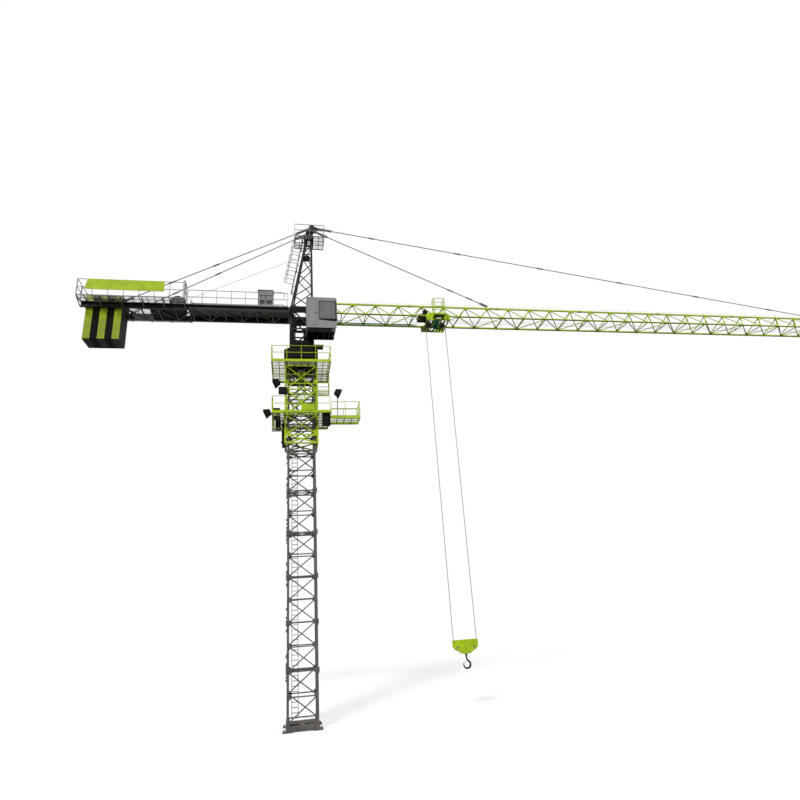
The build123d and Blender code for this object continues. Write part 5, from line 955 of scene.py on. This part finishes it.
front_rail = at((1.308, 1.345, 1.345, 1.308), (-1.1, -1.1, -0.55, -0.55), 13.4)
wedge = [(0.665, 13.448), (0.64, 13.425), (0.66, 13.405), (1.18, 13.35), (1.29, 13.352),
         (1.3, 13.375), (1.3, 14.235), (1.268, 14.235), (1.268, 13.448)]
add_piece("cab_fittings", "black_paint", "upperworks",
          tube(bend(grab, 0.02), 0.008, over=Y), tube(bend(wiper, 0.01), 0.005, 6, X),
          tube(bend(front_rail, 0.025), 0.006),
          bars((1.324, -0.78, 13.62), (1.324, -0.7, 13.98), 0.01, 0.006, X),
          slab(0.1, 0.03, 0.008, 0.014, (0.535, near_y, 13.7), *XZ),
          slab(0.92, 0.6, 0.02, 0.01, (0.705, -0.79, 13.07), *XY),
          *[plate(wedge, 0.014, (0, y, 0), *XZ) for y in (near_y, far_y)])
slat_z = np.linspace(12.955, 13.055, 4)
slats = at(1.105 + 0.25 * (slat_z - 12.955), -1.124, slat_z)
add_piece("base_slats", "rail_paint", "upperworks", bars(slats, slats + (0.085, 0, 0), 0.012, 0.012))

# %% [markdown]
# ## Trolley
# The trolley hangs on four flanged wheels and sends the hoist rope down over two grooved sheaves. A
# bracket in the middle carries a small double sheave. All of it rides on the trolley body.

# %% Wheels, sheaves and bracket
trolley_x, wheel_spread, sheave_z, sheave_spread = 5.375, 0.3, 13.906, 0.286
axle_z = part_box("trolley_wheels")[1].z - 0.06
print("trolley axle height", round(axle_z, 4))


def pair(spread, y, z):
    """Two places, as far before as behind the middle of the trolley."""
    return at((trolley_x - spread, trolley_x + spread), y, z)


flanged = [(0.045, -0.012), (0.059, -0.011), (0.059, 0.004), (0.0595, 0.006), (0.0598, 0.011),
           (0.03, 0.012), (0.026, 0.016)]
wheels, sheaves = pair(wheel_spread, 0.508, axle_z), pair(sheave_spread, 0, sheave_z)
add_piece("rolling_gear", "dark_paint", "trolley", both_sides(turned(flanged, 32, "y"), wheels),
          both_sides(shaft(0.014, 0.018, 12), wheels + (0, 0.008, 0)),
          copies(sheave(0.11, 0.08, 48, 2), sheaves), copies(shaft(0.022, 0.525, 16), sheaves),
          instead_of=("trolley_wheels",))

bracket = [(-0.17, 0.15), (0.17, 0.15), (0.17, 0.085), (0.085, 0.03), (0.085, -0.06), (0.03, -0.14),
           (-0.03, -0.14), (-0.085, -0.06), (-0.085, 0.03), (-0.17, 0.085)]
add_piece("trolley_bracket", "trolley_paint", "trolley",
          *[plate(bracket, 0.014, (trolley_x, y, 13.905), *XZ) for y in (-0.23, -0.085, 0.085)],
          copies(sheave(0.055, 0.15, 28, 2), (trolley_x, 0, 13.87)),
          bars(pair(0.13, -0.23, 13.98), pair(0.13, 0.085, 13.98), 0.03, 0.03),
          bars((trolley_x, -0.525, 13.868), (trolley_x, 0.525, 13.868), 0.05, 0.03))
brace_y, brace_z, side = np.array([-0.5, -0.5, 0.5, 0.5]), 13.872, np.array([-1, 1, -1, 1])
add_piece("trolley_braces", "lime_paint", "trolley",
          bars(at(trolley_x - 0.1 * side, brace_y, brace_z), at(trolley_x + 0.4 * side, -brace_y, brace_z),
               0.018, 0.018))
nut = turned(stepped(-0.002, (0.016, 0.01), (0.009, 0.016)), 6, "y")
nut_spots = [pair(spread, 0.541, z) for spread, z in ((0.43, 13.9), (0.36, 13.9), (wheel_spread, axle_z))]
add_piece("trolley_bolts", "bolt_steel", "trolley", both_sides(nut, nut_spots))
low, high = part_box("basket_floor")
add_piece("basket_grating", "deck_mesh", "trolley",
          grating(low.x + 0.01, high.x - 0.01, low.y + 0.01, high.y - 0.01, high.z + 0.004))

# %% [markdown]
# ## Falls of the hoist rope
# Four straight falls carry the hook block, from the trolley's sheaves down to the block. When the hook
# goes up they get shorter; here they hang at one length, on a mesh of their own.

# %% Falls
fall_top, fall_foot, hoist_travel = 13.906, 1.9, 11.4
fall_z = np.linspace(fall_top, fall_foot, 60)
falls = add_piece("hoist_falls", "rope_steel", "trolley",
                  *[tube(at(x, y, fall_z), rope_radius, over=X) for x in (4.973, 5.777)
                    for y in (-0.025, 0.025)], instead_of=("rope_falls",))
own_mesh(falls)

# %% [markdown]
# ## Hook
# A forged hook is one bar that swells where the load bends it most and tapers to the point. It is carried
# along a path: a straight shank, a cubic curve into the bowl, and an arc (r cos a, r sin a) round it. The
# bar's radius is read off a few sizes along the way.

# %% Forged hook with its latch and nut
hook_centre, bowl = np.array([trolley_x, 0.0, 1.36]), 0.116
t = np.linspace(0, 1, 9)[:, None]
knots = np.array([(0.0, 0.2), (0.0, 0.13), (0.061, 0.115), (0.095, 0.066)])
swing = ((1 - t) ** 3 * knots[0] + 3 * t * (1 - t) ** 2 * knots[1]
         + 3 * t ** 2 * (1 - t) * knots[2] + t ** 3 * knots[3])
arc_angle = np.radians(np.linspace(35, -183, 30))[1:]
arc = bowl * np.stack([np.cos(arc_angle), np.sin(arc_angle)], 1)
path_2d = np.vstack([(0, 0.345), (0, 0.27), swing, arc, (-0.121, 0.022), (-0.129, 0.044)])
path = hook_centre + at(path_2d[:, 0], 0, path_2d[:, 1])
travelled = np.concatenate([[0], np.cumsum(np.linalg.norm(np.diff(path, axis=0), axis=1))])
thickness = np.interp(travelled / travelled[-1], (0, 0.2, 0.42, 0.62, 0.84, 0.96, 1.0),
                      (0.024, 0.025, 0.03, 0.031, 0.024, 0.015, 0.009))
shank_nut = turned([(0.046, 1.64), (0.046, 1.678), (0.036, 1.684)], 6)
add_piece("forged_hook", node_slots["hook"], "hook_unit", tube(path, thickness, 20, Y),
          copies(shank_nut, (trolley_x, 0, 0)), instead_of=("hook",))
latch = [(-0.008, 0.115), (0.006, 0.1), (-0.098, 0.012), (-0.108, 0.022)]
add_piece("hook_latch", "bright_steel", "hook_unit", plate(latch, 0.026, hook_centre, *XZ),
          copies(shaft(0.007, 0.03, 10), hook_centre + (0, 0, 0.112)))

# %% Cheek bolts and rope guards of the block
block_axle, cheek_out, guard_z = 1.9, 0.062, 2.06
bolt_x = trolley_x + np.array([-0.37, 0.37, 0.0, -0.09, 0.09, 0.0])
shaft_cap = turned([(0.036, -0.002), (0.036, 0.008), (0.026, 0.014)], 20, "y")
add_piece("block_bolts", "bolt_steel", "hook_unit",
          both_sides(nut, at(bolt_x, cheek_out, (guard_z, guard_z, guard_z, 1.74, 1.74, 1.86))),
          copies(shaft(0.01, 0.06, 10), at(bolt_x[:3], 0, guard_z)),
          both_sides(shaft_cap, pair(sheave_spread, cheek_out, block_axle)))

# %% [markdown]
# ## Stage and light
# One soft sun from the upper left in front, a dim even sky for the rest, and a floor that throws little
# light back, so that undersides stay dark as they do outdoors. To the camera, and to what shines, sky and
# floor are plain white. The floor keeps part of its own shading there, so the crane has a shadow.

# %% Floor
floor_half, seen_white_share = 400.0, 0.62


def seen_share(tree):
    """1 for rays that come from the camera, a glossy face or through glass, else 0."""
    rays = tree.nodes.new("ShaderNodeLightPath").outputs
    share = rays["Is Camera Ray"]
    for kind in ("Is Glossy Ray", "Is Transmission Ray"):
        share = put(tree, "ShaderNodeMath", {"operation": "MAXIMUM"}, n0=share, n1=rays[kind]).outputs[0]
    return share


def mix(tree, share, first, second):
    """First shader towards second by a share."""
    return put(tree, "ShaderNodeMixShader", n0=share, n1=first, n2=second).outputs[0]


floor_mesh = bpy.data.meshes.new("floor")
floor_mesh.from_pydata([(x * floor_half, y * floor_half, 0) for x, y in ((-1, -1), (1, -1), (1, 1), (-1, 1))],
                       [], [(0, 1, 2, 3)])
floor = bpy.data.objects.new("floor", floor_mesh)
bpy.context.scene.collection.objects.link(floor)
floor_finish, tree = start_finish("floor")
dull = put(tree, "ShaderNodeBsdfDiffuse", Color=(0.1, 0.1, 0.1, 1.0)).outputs[0]
pale = put(tree, "ShaderNodeBsdfDiffuse", Color=(0.93, 0.93, 0.93, 1.0)).outputs[0]
white = put(tree, "ShaderNodeEmission", Color=(1.0, 1.0, 1.0, 1.0), Strength=1.0).outputs[0]
shown = mix(tree, seen_white_share, pale, white)
put(tree, "ShaderNodeOutputMaterial", Surface=mix(tree, seen_share(tree), dull, shown))
floor_mesh.materials.append(floor_finish)

# %% Sky and sun
sky_strength, sun_strength = 0.55, 3.0
world = bpy.data.worlds.new("sky")
bpy.context.scene.world = world
world.use_nodes = True
tree = world.node_tree
tree.nodes.clear()
soft = put(tree, "ShaderNodeBackground", Color=(0.96, 0.98, 1.0, 1.0), Strength=sky_strength).outputs[0]
white = put(tree, "ShaderNodeBackground", Color=(1.0, 1.0, 1.0, 1.0), Strength=1.0).outputs[0]
put(tree, "ShaderNodeOutputWorld", Surface=mix(tree, seen_share(tree), soft, white))

sun_data = bpy.data.lights.new("sun", "SUN")
sun_data.energy = sun_strength
sun_data.angle = radians(12.0)
sun = bpy.data.objects.new("sun", sun_data)
sun.rotation_euler = (radians(50.0), 0.0, radians(-30.0))
bpy.context.scene.collection.objects.link(sun)
bpy.context.scene.view_settings.view_transform = "Standard"

# %% [markdown]
# ## Close
# The dressed crane has to stay inside the box of the measured one. The number of triangles that the
# dressing added is printed before the scene is closed.

# %% Count and close
print("added triangles", total_triangles)
